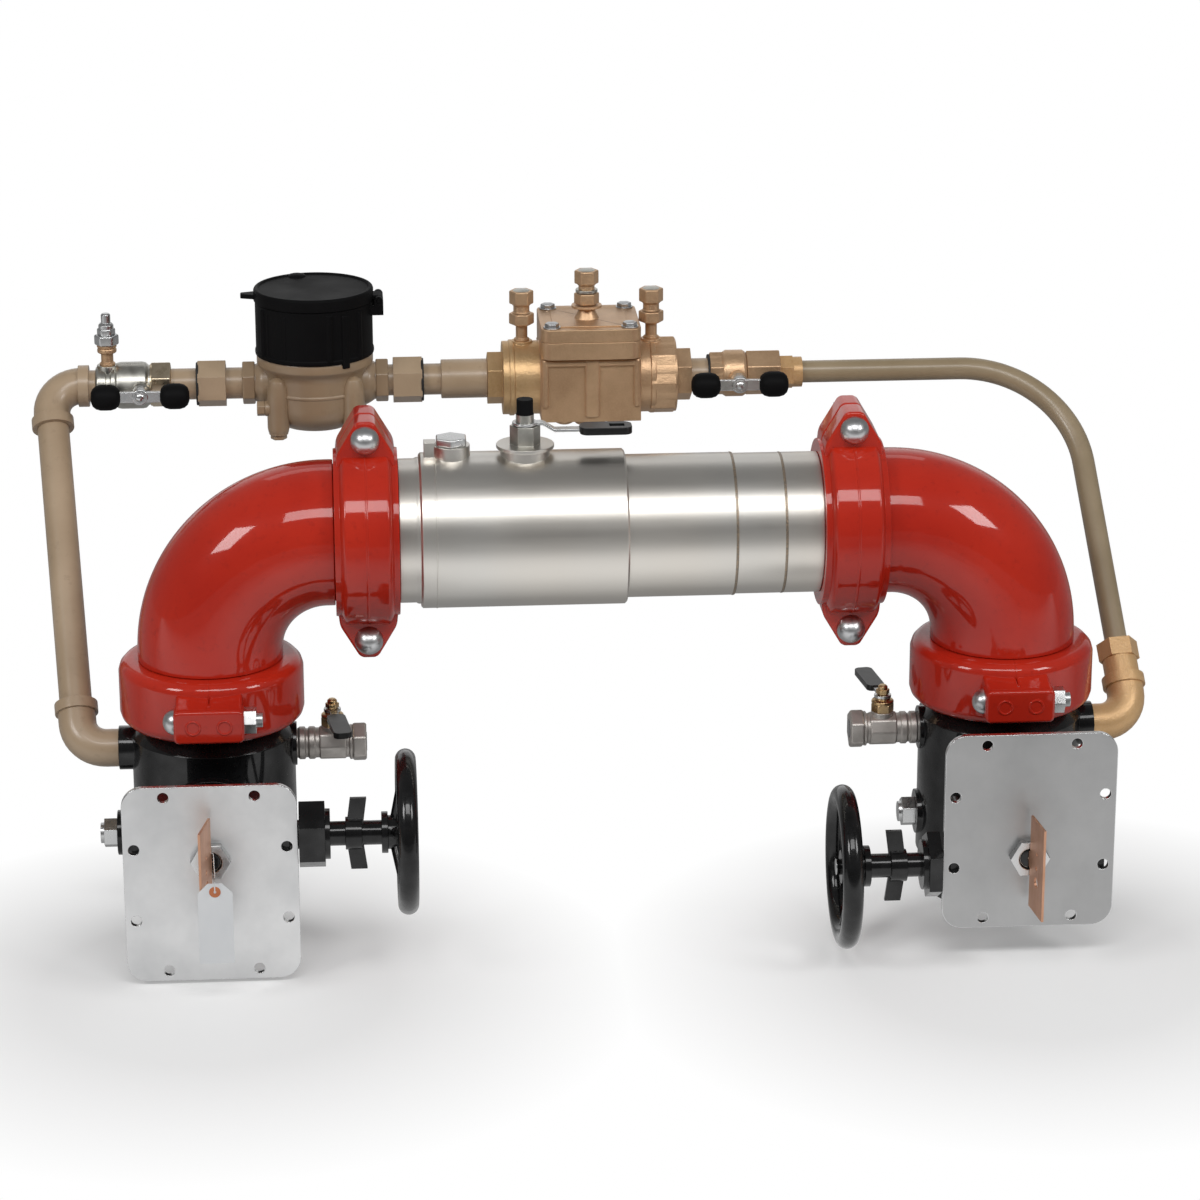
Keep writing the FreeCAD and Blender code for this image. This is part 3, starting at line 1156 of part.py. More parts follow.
def register():
    base = "(bypass_height + meter_top)"
    top = f"({base} + register_height)"
    pin_x = "(-meter_at + lid_od / 2 + lid_pin_offset)"
    pin_z = f"({top} + lid_gap)"
    well_floor = f"({top} - register_well)"
    drum = cylinder("register_od / 2", "register_height", ("-meter_at", "bypass_back", base))
    well = cylinder(
        "register_od / 2 - register_wall", "register_well + 1", ("-meter_at", "bypass_back", well_floor),
    )
    lugs = []
    for way in (-1, 1):
        middle = f"(bypass_back + {way} * (lid_knuckle_width / 2 + lid_lug_gap + lid_lug_width / 2))"
        eye_left = "(lid_od / 2 - meter_at + 0.3)"
        foot_left = "(register_od / 2 - meter_at - 3)"
        foot_low = f"({pin_z} - 1.5 * lid_lug_od)"
        lugs.append(cylinder(
            "lid_lug_od / 2", "lid_lug_width", (pin_x, f"{middle} + lid_lug_width / 2", pin_z), FRONT,
        ))
        lugs.append(block(
            f"{pin_x} - {eye_left} + lid_lug_od / 2", "lid_lug_width", "1.5 * lid_lug_od",
            (f"({pin_x} + {eye_left} + lid_lug_od / 2) / 2", middle, f"({foot_low} + {pin_z}) / 2"),
        ))
        lugs.append(block(
            f"{pin_x} - {foot_left}", "lid_lug_width", "lid_lug_od",
            (f"({pin_x} + {foot_left}) / 2", middle, f"{foot_low} + lid_lug_od / 2"),
        ))
    ribs = []
    for angle in (-150, -75, -40, 110):
        away = "(register_od / 2 - 1)"
        ribs.append(cylinder("register_rib", "register_height - 6", (
            f"-meter_at + {away} * cos({angle})", f"bypass_back + {away} * sin({angle})", f"{base} + 3",
        )))
    length = "lid_knuckle_width + 2 * lid_lug_gap + 2 * lid_lug_width"
    pin_start = (pin_x, f"bypass_back + ({length}) / 2 + 1", pin_z)
    pin_hole = cylinder("lid_pin_od / 2 + fit_slip", f"{length} + 2", pin_start, FRONT)
    node("meter_register_box", cut(fuse(cut(drum, well), *ribs, *lugs), pin_hole))

    lid = cylinder("lid_od / 2", "lid_thickness", ("-meter_at", "bypass_back", f"{top} + lid_gap"))
    knuckle = cylinder(
        "lid_lug_od / 2", "lid_knuckle_width", (pin_x, "bypass_back + lid_knuckle_width / 2", pin_z), FRONT,
    )
    web = block(
        "lid_pin_offset + 6", "lid_knuckle_width", "lid_lug_od / 2",
        (f"{pin_x} - (lid_pin_offset + 6) / 2", "bypass_back", f"{pin_z} + lid_lug_od / 4"),
    )
    pin = cylinder("lid_pin_od / 2", length, (pin_x, f"bypass_back + ({length}) / 2", pin_z), FRONT)
    beak = slab([
        ("0", "-beak_width / 2"), ("0", "beak_width / 2"),
        ("-beak_length", "beak_width / 5"), ("-beak_length", "-beak_width / 5"),
    ], "beak_thickness", ("-meter_at - lid_od / 2 + 3", "bypass_back", f"{top} + lid_gap + 2"))
    node("meter_lid", fuse(lid, knuckle, web, pin, beak))

    dial_radius = "register_od / 2 - register_wall - dial_clearance"
    post = cylinder(
        "hand_post_od / 2", "dial_thickness + hand_gap + 2 * hand_thickness",
        ("-meter_at", "bypass_back", well_floor),
    )
    dial = cylinder(dial_radius, "dial_thickness", ("-meter_at", "bypass_back", well_floor))
    node("register_dial", fuse(dial, post))
    hand_floor = f"{well_floor} + dial_thickness + hand_gap"
    hand_middle = "-meter_at + hand_length / 2 - hand_hub_od / 2"
    hand = block(
        "hand_length + hand_hub_od", "hand_width", "hand_thickness",
        (hand_middle, "bypass_back", f"{hand_floor} + hand_thickness / 2"),
    )
    hand_hub = cylinder("hand_hub_od / 2", "hand_thickness * 2", ("-meter_at", "bypass_back", hand_floor))
    post_hole = cylinder(
        "hand_post_od / 2 + fit_slip", "hand_thickness * 4",
        ("-meter_at", "bypass_back", f"{hand_floor} - hand_thickness"),
    )
    node("sweep_hand", cut(fuse(hand, hand_hub), post_hole))


def bypass_check():
    left = "(check_offset - check_half_length)"
    right = "(check_offset + check_half_length)"
    height = "check_flange_low + check_drop"
    chest = block(
        "2 * check_half_length", "check_width", height,
        ("check_offset", "bypass_back", "bypass_height + (check_flange_low - check_drop) / 2"),
    )
    flange = slab(
        rectangle("check_cover_size", "check_cover_size"), "check_flange_high - check_flange_low",
        ("check_offset", "bypass_back", "bypass_height + check_flange_low"), UP, "check_cover_size / 9",
    )
    body = fuse(
        chest, flange,
        along("check_round_od / 2", "-check_inlet_start", f"{left} + 1"),
        along("check_round_od / 2", f"{right} - 1", "check_outlet_end"),
        along("check_hex_flats", "-check_inlet_end", "-check_inlet_start + 1", hexagon),
        along("check_hex_flats", "check_outlet_end - 1", "check_hex_end", hexagon),
        cylinder("check_port_od / 2", "check_port_drop",
                 ("check_offset", "bypass_back - check_width / 4", "bypass_height"), DOWN),
        cock_boss("left_cock_at", "check_round_od / 2 + cock_boss_rise"),
        cock_boss("right_cock_at", "check_round_od / 2 + cock_boss_rise"),
    )
    ends = [
        along("small_bore / 2", "-check_inlet_end - 1", "-check_inlet_start"),
        along("small_bore / 2", "check_outlet_end", "check_hex_end + 1"),
    ]
    node("bypass_check_body", cut(body, *ends))
    cover_low = "(bypass_height + check_flange_high)"
    cover = slab(
        rectangle("check_cover_size", "check_cover_size"), "check_cover_thickness",
        ("check_offset", "bypass_back", cover_low), UP, "check_cover_size / 9",
    )
    recess = block(
        "check_recess_length", "check_recess_width", "2 * check_recess_depth",
        ("check_offset", "bypass_back", f"{cover_low} + check_cover_thickness"),
    )
    node("bypass_check_cover", cut(cover, recess))
    screws = []
    for across in (-1, 1):
        for along_y in (-1, 1):
            screws.append(hexagon("cover_screw_flats", "cover_screw_height", (
                f"check_offset + {across} * cover_screw_pitch / 2",
                f"bypass_back + {along_y} * cover_screw_pitch / 2",
                f"{cover_low} + check_cover_thickness",
            )))
    node("cover_screws", group(*screws))


def test_cocks():
    cocks = []
    cover_top = "bypass_height + check_flange_high + check_cover_thickness - check_recess_depth"
    sites = (
        ("left_cock_at", "bypass_height + check_round_od / 2 + cock_boss_rise"),
        ("centre_cock_at", cover_top),
        ("right_cock_at", "bypass_height + check_round_od / 2 + cock_boss_rise"),
        ("-inlet_cock_at", "bypass_height + valve_tail_od / 2 + cock_boss_rise"),
    )
    for across, base in sites:
        hex_base = f"{base} + cock_neck_height"
        waist_base = f"{hex_base} + cock_hex_height"
        cap_base = f"{waist_base} + cock_waist_height"
        cocks.append(fuse(
            cylinder("cock_neck_od / 2", "cock_neck_height", (across, "bypass_back", base)),
            hexagon("cock_hex_flats", "cock_hex_height", (across, "bypass_back", hex_base)),
            cylinder("cock_waist_od / 2", "cock_waist_height", (across, "bypass_back", waist_base)),
            hexagon("cock_hex_flats", "cock_cap_height", (across, "bypass_back", cap_base)),
        ))
    node("test_cocks", group(*cocks))


def build():
    fill_sheet()
    check_housing()
    access_plug()
    check_seats()
    clapper("first_clapper", "first_seat_at")
    clapper("second_clapper", "second_seat_at")
    housing_test_valve()
    elbow("inlet_elbow", f"-{RUN}", UP)
    elbow("outlet_elbow", RUN, HALF_TURN)
    couplings()
    valve_body("inlet_valve_body", "inlet", f"-{RUN}", -1)
    valve_body("outlet_valve_body", "outlet", RUN, 1)
    body_plugs()
    operator("inlet", (f"-{RUN}", 0, "inlet_stem_height"), UP)
    operator("outlet", (RUN, 0, "outlet_stem_height"), UPSIDE_DOWN)
    stem_parts("inlet", f"-{RUN}")
    stem_parts("outlet", RUN)
    stem_lock_nuts()
    tag()
    side_test_valves()
    risers()
    bypass_pipes()
    pipe_nuts()
    outlet_tube()
    inlet_boss = cock_boss("-inlet_cock_at", "valve_tail_od / 2 + cock_boss_rise")
    bypass_valve("inlet", "-inlet_valve_start", "-inlet_ball_start", "-inlet_hex_end",
                 "-inlet_hex_start", "-inlet_handle_at", [inlet_boss])
    bypass_valve("outlet", "outlet_valve_start", "outlet_valve_start + 12", "outlet_valve_end",
                 "outlet_ball_end", "outlet_handle_at")
    meter()
    register()
    bypass_check()
    test_cocks()
    doc.recompute()


def check():
    for thing in doc.Objects:
        if "Invalid" in thing.State or "Error" in thing.State:
            raise RuntimeError(f"{thing.Name} ({thing.Label}) failed to compute")
    for piece in nodes:
        if piece.Shape.isNull() or not piece.Shape.isValid():
            raise RuntimeError(f"{piece.Label} has no valid shape")


def write():
    os.makedirs("parts", exist_ok=True)
    for piece in nodes:
        piece.Shape.exportStep(os.path.join("parts", piece.Label + ".step"))
    print(len(nodes), "pieces written")


build()
check()
write()
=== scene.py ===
import json
import math

import bmesh
import bpy
from mathutils import Matrix, Vector


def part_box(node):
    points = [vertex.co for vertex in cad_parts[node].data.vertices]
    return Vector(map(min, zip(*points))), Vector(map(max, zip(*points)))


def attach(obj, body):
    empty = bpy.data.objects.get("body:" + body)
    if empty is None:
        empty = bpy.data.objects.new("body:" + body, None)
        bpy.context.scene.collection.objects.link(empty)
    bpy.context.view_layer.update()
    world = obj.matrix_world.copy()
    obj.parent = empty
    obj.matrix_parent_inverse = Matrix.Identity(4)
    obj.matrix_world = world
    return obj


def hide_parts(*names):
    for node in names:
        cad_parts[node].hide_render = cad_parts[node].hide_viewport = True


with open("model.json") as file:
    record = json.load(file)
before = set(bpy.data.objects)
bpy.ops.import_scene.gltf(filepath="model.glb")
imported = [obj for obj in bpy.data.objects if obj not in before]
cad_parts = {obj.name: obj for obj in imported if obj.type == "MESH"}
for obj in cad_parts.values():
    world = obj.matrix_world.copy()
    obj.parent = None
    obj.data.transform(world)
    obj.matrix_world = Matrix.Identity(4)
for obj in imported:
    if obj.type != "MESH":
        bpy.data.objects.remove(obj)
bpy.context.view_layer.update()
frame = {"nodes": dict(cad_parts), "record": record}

# Shapes are worked in millimetres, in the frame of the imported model
MM = 0.001
UP = Matrix.Identity(4)
RIGHT = Matrix.Rotation(math.pi / 2, 4, "Y")
LEFT = Matrix.Rotation(-math.pi / 2, 4, "Y")
FRONT = Matrix.Rotation(math.pi / 2, 4, "X")
BACK = Matrix.Rotation(-math.pi / 2, 4, "X")
DOWN = Matrix.Rotation(math.pi, 4, "X")
HALF_TURN = Matrix.Rotation(math.pi, 4, "Z")

# Lines and planes that many pieces share
INLET_RUN = 0.0
OUTLET_RUN = 648.7
HOUSING_MIDDLE = (INLET_RUN + OUTLET_RUN) / 2
HOUSING_LEFT = HOUSING_MIDDLE - 194.15
HOUSING_AXIS = 323.2
PIPE_JOINT = 195.75
VALVE_JOINT = 194.6
COVER_FACE = -158.0
SIDE_AXIS = 142.6
TEST_STEM = 97.5
BYPASS_BACK = 225.0
BYPASS_AXIS = 387.3
INLET_COCK = -86.65
INLET_BALL = -58.25
OUTLET_BALL = 449.85
METER_AXIS = 89.35
REGISTER_BASE = BYPASS_AXIS + 26.3
CHECK_AXIS = 323.15
HOUSING_VALVE_AXIS = 257.35

slot_of = {part["node"]: part["material_slot"] for part in frame["record"]["subparts"]}
body_of = {
    node: body for body, nodes in frame["record"]["behaviour"]["bodies"].items() for node in nodes
}


# Finishes

class Channel:
    """A value that varies over a surface, so that shader maths reads as arithmetic."""

    def __init__(self, shader, socket):
        self.shader = shader
        self.socket = socket

    def _with(self, operation, other):
        return self.shader.node("ShaderNodeMath", {"operation": operation}, {0: self, 1: other})

    def __add__(self, other):
        return self._with("ADD", other)

    def __mul__(self, other):
        return self._with("MULTIPLY", other)

    __radd__ = __add__
    __rmul__ = __mul__


class Shader:
    """A node tree that is built from expressions."""

    def __init__(self, tree):
        self.tree = tree

    def node(self, kind, settings=None, inputs=None, output=0):
        made = self.tree.nodes.new(kind)
        for name, value in (settings or {}).items():
            setattr(made, name, value)
        for name, value in (inputs or {}).items():
            self.feed(made.inputs[name], value)
        return Channel(self, made.outputs[output])

    def feed(self, socket, value):
        if isinstance(value, Channel):
            self.tree.links.new(value.socket, socket)
        elif isinstance(value, tuple) and len(value) == 3 and socket.type == "RGBA":
            socket.default_value = (*value, 1.0)
        else:
            socket.default_value = value

    def along(self, axis, place):
        """How far a place lies along X, Y or Z."""
        return self.node("ShaderNodeSeparateXYZ", None, {"Vector": place}, axis)

    def ray(self, kind):
        """1 for a Camera, Glossy or Transmission ray, and 0 for any other."""
        return self.node("ShaderNodeLightPath", output=f"Is {kind} Ray")

    def spread(self, value, low, high, start=0.0, end=1.0):
        """value moved from low..high to start..end and kept there."""
        return self.node("ShaderNodeMapRange", {"clamp": True}, {
            "Value": value, "From Min": low, "From Max": high, "To Min": start, "To Max": end,
        })


def socket_name(word):
    """The name of a surface's socket, from the keyword that sets it."""
    return word.replace("_", " ").title().replace("Ior", "IOR")


class Finish(Shader):
    """One procedural material."""

    def __init__(self, name, **constants):
        self.material = bpy.data.materials.new(name)
        self.material.use_nodes = True
        super().__init__(self.material.node_tree)
        self.surface = self.tree.nodes["Principled BSDF"]
        self.set(**constants)

    def place(self, scale=(1, 1, 1), shift=(0, 0, 0)):
        where = self.node("ShaderNodeTexCoord", output="Object")
        return self.node("ShaderNodeMapping", None, {"Vector": where, "Scale": scale, "Location": shift})

    def noise(self, scale, detail=3.0, roughness=0.5, stretch=(1, 1, 1)):
        return self.node("ShaderNodeTexNoise", None, {
            "Vector": self.place(stretch), "Scale": scale, "Detail": detail, "Roughness": roughness,
        })

    def grains(self, scale):
        return self.node("ShaderNodeTexVoronoi", None, {"Vector": self.place(), "Scale": scale})

    def mix(self, factor, first, second):
        return self.node("ShaderNodeMix", {"data_type": "RGBA"}, {0: factor, 6: first, 7: second}, output=2)

    def bump(self, height, strength, distance):
        return self.node("ShaderNodeBump", None, {
            "Height": height, "Strength": strength, "Distance": distance,
        })

    def set(self, **channels):
        for word, value in channels.items():
            self.feed(self.surface.inputs[socket_name(word)], value)
        return self.material


def red_enamel():
    finish = Finish("red_enamel", coat_roughness=0.06, coat_ior=1.55, specular_ior_level=0.05)
    broad = finish.noise(9.0, 3.0)
    casting = finish.noise(380.0, 4.0, 0.6)
    dips = finish.noise(55.0, 2.0)
    thin = finish.noise(140.0, 5.0, 0.7)
    colour = finish.mix(finish.spread(broad, 0.35, 0.65), (0.42, 0.018, 0.008), (0.52, 0.026, 0.010))
    colour = finish.mix(finish.spread(thin, 0.56, 0.74, 0.0, 0.35), colour, (0.22, 0.010, 0.007))
    height = dips * 0.8 + casting * 0.10
    return finish.set(
        base_color=colour, roughness=finish.spread(casting, 0.3, 0.7, 0.30, 0.42),
        coat_weight=finish.spread(broad, 0.3, 0.7, 0.55, 0.8), normal=finish.bump(height, 0.32, 0.0010),
    )


def satin_stainless():
    finish = Finish("satin_stainless", metallic=1.0)
    cloud = finish.noise(11.0, 4.0)
    streak = finish.noise(34.0, 4.0, 0.6, (0.08, 1.0, 1.0))
    turning = finish.noise(520.0, 2.0, 0.5, (1.0, 0.02, 0.02))
    grain = finish.noise(900.0, 2.0, 0.5, (0.25, 1.0, 1.0))
    warm = finish.noise(6.0, 2.0, 0.5, (1.0, 0.4, 0.4))
    colour = finish.mix(cloud * 0.6 + streak * 0.4, (0.60, 0.58, 0.545), (0.76, 0.74, 0.70))
    colour = finish.mix(finish.spread(warm, 0.4, 0.65, 0.0, 0.35), colour, (0.74, 0.66, 0.56))
    roughness = finish.spread(streak + cloud * 0.5, 0.5, 1.0, 0.30, 0.40)
    return finish.set(
        base_color=colour, roughness=roughness, normal=finish.bump(grain + turning * 0.6, 0.12, 0.0002),
    )


def black_enamel():
    finish = Finish("black_enamel", coat_roughness=0.07, specular_ior_level=0.1)
    casting = finish.noise(260.0, 4.0, 0.6)
    dips = finish.noise(45.0, 3.0)
    colour = finish.mix(finish.spread(dips, 0.3, 0.7), (0.003, 0.003, 0.0032), (0.007, 0.007, 0.0075))
    return finish.set(
        base_color=colour, roughness=finish.spread(casting, 0.3, 0.7, 0.22, 0.38),
        coat_weight=finish.spread(dips, 0.3, 0.7, 0.45, 0.8),
        normal=finish.bump(casting * 0.2 + dips, 0.4, 0.0012),
    )


def blasted_plate(name="blasted_plate", low=(0.52, 0.525, 0.53), high=(0.80, 0.80, 0.80)):
    finish = Finish(name, metallic=1.0)
    cloud = finish.noise(16.0, 5.0, 0.55)
    grit = finish.noise(1300.0, 3.0, 0.6)
    smear = finish.noise(30.0, 4.0, 0.6, (0.5, 1.0, 0.25))
    colour = finish.mix(finish.spread(cloud + smear * 0.6, 0.5, 1.1), low, high)
    return finish.set(
        base_color=colour, roughness=finish.spread(cloud, 0.3, 0.7, 0.34, 0.46),
        normal=finish.bump(grit, 0.25, 0.0002),
    )


def bright_zinc(name="bright_zinc", low=(0.50, 0.51, 0.52), high=(0.70, 0.70, 0.69)):
    finish = Finish(name, metallic=1.0)
    cloud = finish.noise(90.0, 3.0)
    pitting = finish.noise(900.0, 3.0)
    colour = finish.mix(cloud, low, high)
    return finish.set(
        base_color=colour, roughness=finish.spread(cloud, 0.3, 0.7, 0.22, 0.34),
        normal=finish.bump(pitting, 0.05, 0.0001),
    )


def bolt_steel():
    finish = Finish("bolt_steel", metallic=1.0)
    cloud = finish.noise(30.0, 3.0)
    turning = finish.noise(400.0, 2.0, 0.5, (0.3, 1.0, 1.0))
    colour = finish.mix(cloud, (0.48, 0.49, 0.50), (0.64, 0.64, 0.64))
    return finish.set(base_color=colour, roughness=finish.spread(turning + cloud, 0.6, 1.4, 0.30, 0.38))


def cast_bronze(name="cast_bronze", low=(0.46, 0.280, 0.160), high=(0.68, 0.450, 0.270), metal=0.65):
    finish = Finish(name)
    cloud = finish.noise(26.0, 5.0, 0.6)
    sand = finish.noise(700.0, 4.0, 0.65)
    pits = finish.grains(420.0)
    colour = finish.mix(finish.spread(cloud, 0.3, 0.7), low, high)
    colour = finish.mix(finish.spread(sand, 0.35, 0.75, 0.0, 0.5), colour, (0.70, 0.49, 0.29))
    return finish.set(
        base_color=colour, metallic=metal, roughness=finish.spread(sand, 0.3, 0.7, 0.30, 0.46),
        normal=finish.bump(sand + pits * 0.4, 0.35, 0.0006),
    )


def tan_coat(name="tan_coat", low=(0.38, 0.275, 0.175), high=(0.48, 0.355, 0.235)):
    finish = Finish(name, coat_roughness=0.22, metallic=0.0)
    cloud = finish.noise(18.0, 4.0)
    fleck = finish.noise(500.0, 3.0, 0.6)
    rub = finish.noise(90.0, 5.0, 0.7)
    colour = finish.mix(finish.spread(cloud, 0.3, 0.7), low, high)
    colour = finish.mix(finish.spread(rub, 0.58, 0.76, 0.0, 0.4), colour, (0.22, 0.155, 0.095))
    return finish.set(
        base_color=colour, roughness=finish.spread(fleck, 0.3, 0.7, 0.32, 0.44),
        coat_weight=finish.spread(cloud, 0.3, 0.7, 0.2, 0.45), normal=finish.bump(fleck, 0.16, 0.0003),
    )


def plated_brass():
    finish = Finish("plated_brass", metallic=1.0)
    cloud = finish.noise(70.0, 4.0)
    colour = finish.mix(finish.spread(cloud, 0.35, 0.65), (0.42, 0.41, 0.37), (0.60, 0.59, 0.54))
    return finish.set(
        base_color=colour, roughness=finish.spread(cloud, 0.3, 0.7, 0.26, 0.40),
        normal=finish.bump(cloud, 0.25, 0.0006),
    )


def grey_bronze():
    finish = Finish("grey_bronze", metallic=0.7)
    cloud = finish.noise(60.0, 4.0)
    grit = finish.noise(900.0, 3.0)
    colour = finish.mix(finish.spread(cloud, 0.3, 0.7), (0.36, 0.335, 0.310), (0.52, 0.490, 0.460))
    return finish.set(
        base_color=colour, roughness=finish.spread(grit, 0.3, 0.7, 0.36, 0.48),
        normal=finish.bump(grit, 0.2, 0.0003),
    )


def machined_brass(name="machined_brass", low=(0.46, 0.31, 0.15), high=(0.62, 0.45, 0.26)):
    finish = Finish(name, metallic=1.0)
    cloud = finish.noise(80.0, 3.0)
    tooling = finish.noise(700.0, 2.0)
    colour = finish.mix(finish.spread(cloud, 0.3, 0.7), low, high)
    return finish.set(
        base_color=colour, roughness=finish.spread(cloud, 0.3, 0.7, 0.24, 0.36),
        normal=finish.bump(tooling, 0.1, 0.0003),
    )


def flag_copper():
    finish = Finish("flag_copper", metallic=0.8)
    cloud = finish.noise(35.0, 4.0)
    scuff = finish.noise(300.0, 4.0, 0.6, (1.0, 1.0, 0.15))
    colour = finish.mix(finish.spread(cloud, 0.3, 0.7), (0.50, 0.26, 0.16), (0.68, 0.39, 0.26))
    colour = finish.mix(finish.spread(scuff, 0.6, 0.75, 0.0, 0.4), colour, (0.32, 0.16, 0.10))
    return finish.set(
        base_color=colour, roughness=finish.spread(scuff, 0.3, 0.7, 0.34, 0.5),
        normal=finish.bump(scuff, 0.15, 0.0003),
    )


def black_plastic():
    finish = Finish("black_plastic", specular_ior_level=0.05)
    grain = finish.noise(1500.0, 3.0, 0.6)
    cloud = finish.noise(20.0, 3.0)
    colour = finish.mix(cloud, (0.004, 0.004, 0.0042), (0.009, 0.009, 0.0095))
    return finish.set(
        base_color=colour, roughness=finish.spread(cloud, 0.3, 0.7, 0.44, 0.58),
        normal=finish.bump(grain, 0.2, 0.0002),
    )


def dipped_vinyl():
    finish = Finish("dipped_vinyl", coat_roughness=0.2, specular_ior_level=0.25)
    cloud = finish.noise(60.0, 3.0)
    colour = finish.mix(cloud, (0.004, 0.004, 0.004), (0.010, 0.010, 0.010))
    return finish.set(
        base_color=colour, roughness=finish.spread(cloud, 0.3, 0.7, 0.30, 0.42),
        coat_weight=finish.spread(cloud, 0.3, 0.7, 0.1, 0.35), normal=finish.bump(cloud, 0.2, 0.0008),
    )


def tag_card():
    finish = Finish("tag_card")
    fibre = finish.noise(700.0, 4.0, 0.6, (1.0, 1.0, 0.3))
    cloud = finish.noise(40.0, 3.0)
    colour = finish.mix(cloud, (0.70, 0.72, 0.74), (0.78, 0.79, 0.80))
    return finish.set(base_color=colour, roughness=0.7, normal=finish.bump(fibre, 0.2, 0.0002))


def orange_fibre():
    finish = Finish("orange_fibre")
    cloud = finish.noise(400.0, 3.0)
    colour = finish.mix(cloud, (0.48, 0.14, 0.05), (0.62, 0.22, 0.09))
    return finish.set(base_color=colour, roughness=finish.spread(cloud, 0.3, 0.7, 0.5, 0.65))


def black_rubber():
    finish = Finish("black_rubber")
    cloud = finish.noise(120.0, 3.0)
    colour = finish.mix(cloud, (0.008, 0.008, 0.008), (0.018, 0.018, 0.018))
    return finish.set(base_color=colour, roughness=finish.spread(cloud, 0.3, 0.7, 0.55, 0.75))


def dial_card():
    finish = Finish("dial_card")
    cloud = finish.noise(80.0, 3.0)
    colour = finish.mix(cloud, (0.74, 0.74, 0.72), (0.82, 0.82, 0.80))
    return finish.set(base_color=colour, roughness=finish.spread(cloud, 0.3, 0.7, 0.45, 0.6))


def red_needle():
    finish = Finish("red_needle")
    cloud = finish.noise(200.0, 3.0)
    colour = finish.mix(cloud, (0.50, 0.02, 0.015), (0.60, 0.03, 0.02))
    return finish.set(base_color=colour, roughness=finish.spread(cloud, 0.3, 0.7, 0.3, 0.4))


ZINC = bright_zinc()
BOLT_STEEL = bolt_steel()
VINYL = dipped_vinyl()
PLASTIC = black_plastic()
RUBBER = black_rubber()
BRASS = machined_brass()
GOLD_BRONZE = cast_bronze("gold_bronze", (0.50, 0.320, 0.145), (0.70, 0.460, 0.235))
FOOT_BRONZE = cast_bronze("foot_bronze", (0.56, 0.330, 0.140), (0.72, 0.450, 0.205), 0.3)
# A darker copy of the blasted plate: painted shade for the outlet cover plate
SHADE_PAINTED_PLATE = blasted_plate("shade_painted_plate", (0.34, 0.34, 0.34), (0.48, 0.48, 0.48))
PALE_BRASS = machined_brass("pale_brass", (0.60, 0.49, 0.34), (0.78, 0.66, 0.50))
STAINLESS = satin_stainless()
SEAM_STEEL = cast_bronze("seam_steel", (0.16, 0.145, 0.125), (0.26, 0.235, 0.205), 0.8)
BLACK_ENAMEL = black_enamel()
BRONZE = cast_bronze()
TAN = tan_coat()
METER_TAN = tan_coat("meter_tan", (0.29, 0.200, 0.122), (0.375, 0.270, 0.170))
TUBE_TAN = tan_coat("tube_tan", (0.27, 0.205, 0.120), (0.35, 0.270, 0.170))
ORANGE = orange_fibre()

FINISHES = {
    "red_paint": red_enamel(),
    "stainless": STAINLESS,
    "black_paint": BLACK_ENAMEL,
    "plate_steel": blasted_plate(),
    "zinc": ZINC,
    "gasket_rubber": RUBBER,
    "bronze": BRONZE,
    "tan_bronze": TAN,
    "bright_brass": plated_brass(),
    "nickel_bronze": grey_bronze(),
    "copper": flag_copper(),
    "black_plastic": PLASTIC,
    "grip_vinyl": VINYL,
    "card": tag_card(),
    "dial_face": dial_card(),
    "hand_red": red_needle(),
    "seat_plastic": PLASTIC,
    "wire_steel": ZINC,
}


# Forms that the pieces are made of

SHARP_ANGLE = 32.0
FLAT_ANGLE = 0.6


def eased(shape, width, segments=3, above=SHARP_ANGLE, clamped=True):
    """Round a shape's sharp edges over."""
    sharp = [
        edge for edge in shape.edges
        if edge.is_manifold and edge.calc_face_angle(0.0) > math.radians(above)
    ]
    if width and sharp:
        bmesh.ops.bevel(
            shape, geom=sharp, offset=width, offset_type="OFFSET", affect="EDGES",
            segments=segments, profile=0.5, material=-1, clamp_overlap=clamped, loop_slide=True,
        )
    return shape


def set_at(shape, at=(0, 0, 0), turn=UP):
    shape.transform(Matrix.Translation(Vector(at)) @ turn)
    return shape


def joined(*shapes):
    whole = shapes[0]
    for shape in shapes[1:]:
        carrier = bpy.data.meshes.new("carrier")
        shape.to_mesh(carrier)
        shape.free()
        whole.from_mesh(carrier)
        bpy.data.meshes.remove(carrier)
    return whole


def turned(outline, edge=0.0, steps=96, degrees=360, above=SHARP_ANGLE):
    """A revolved shape: the outline's points are (radius, height) along the axis."""
    shape = bmesh.new()
    points = [shape.verts.new((radius, 0.0, height)) for radius, height in outline]
    edges = [shape.edges.new(pair) for pair in zip(points, points[1:])]
    if outline[0][0] or outline[-1][0] or degrees != 360:
        edges.append(shape.edges.new((points[-1], points[0])))
    bmesh.ops.spin(
        shape, geom=points + edges, axis=(0, 0, 1), angle=math.radians(degrees), steps=steps,
        use_merge=abs(degrees) == 360,
    )
    bmesh.ops.remove_doubles(shape, verts=shape.verts, dist=0.0005)
    bmesh.ops.edgeloop_fill(shape, edges=[edge for edge in shape.edges if edge.is_boundary])
    bmesh.ops.recalc_face_normals(shape, faces=shape.faces)
    return eased(shape, edge, above=above)


def sided_bar(flats, length, edge=0.7, sides=6):
    """An upright bar with flat sides and a corner at its left and right, standing on the ground."""
    shape = bmesh.new()
    across = flats / 2 / math.cos(math.pi / sides)
    bmesh.ops.create_cone(
        shape, cap_ends=True, segments=sides, radius1=across, radius2=across, depth=length,
        matrix=Matrix.Translation((0, 0, length / 2)) @ Matrix.Rotation(math.pi / 2, 4, "Z"),
    )
    return eased(shape, edge)


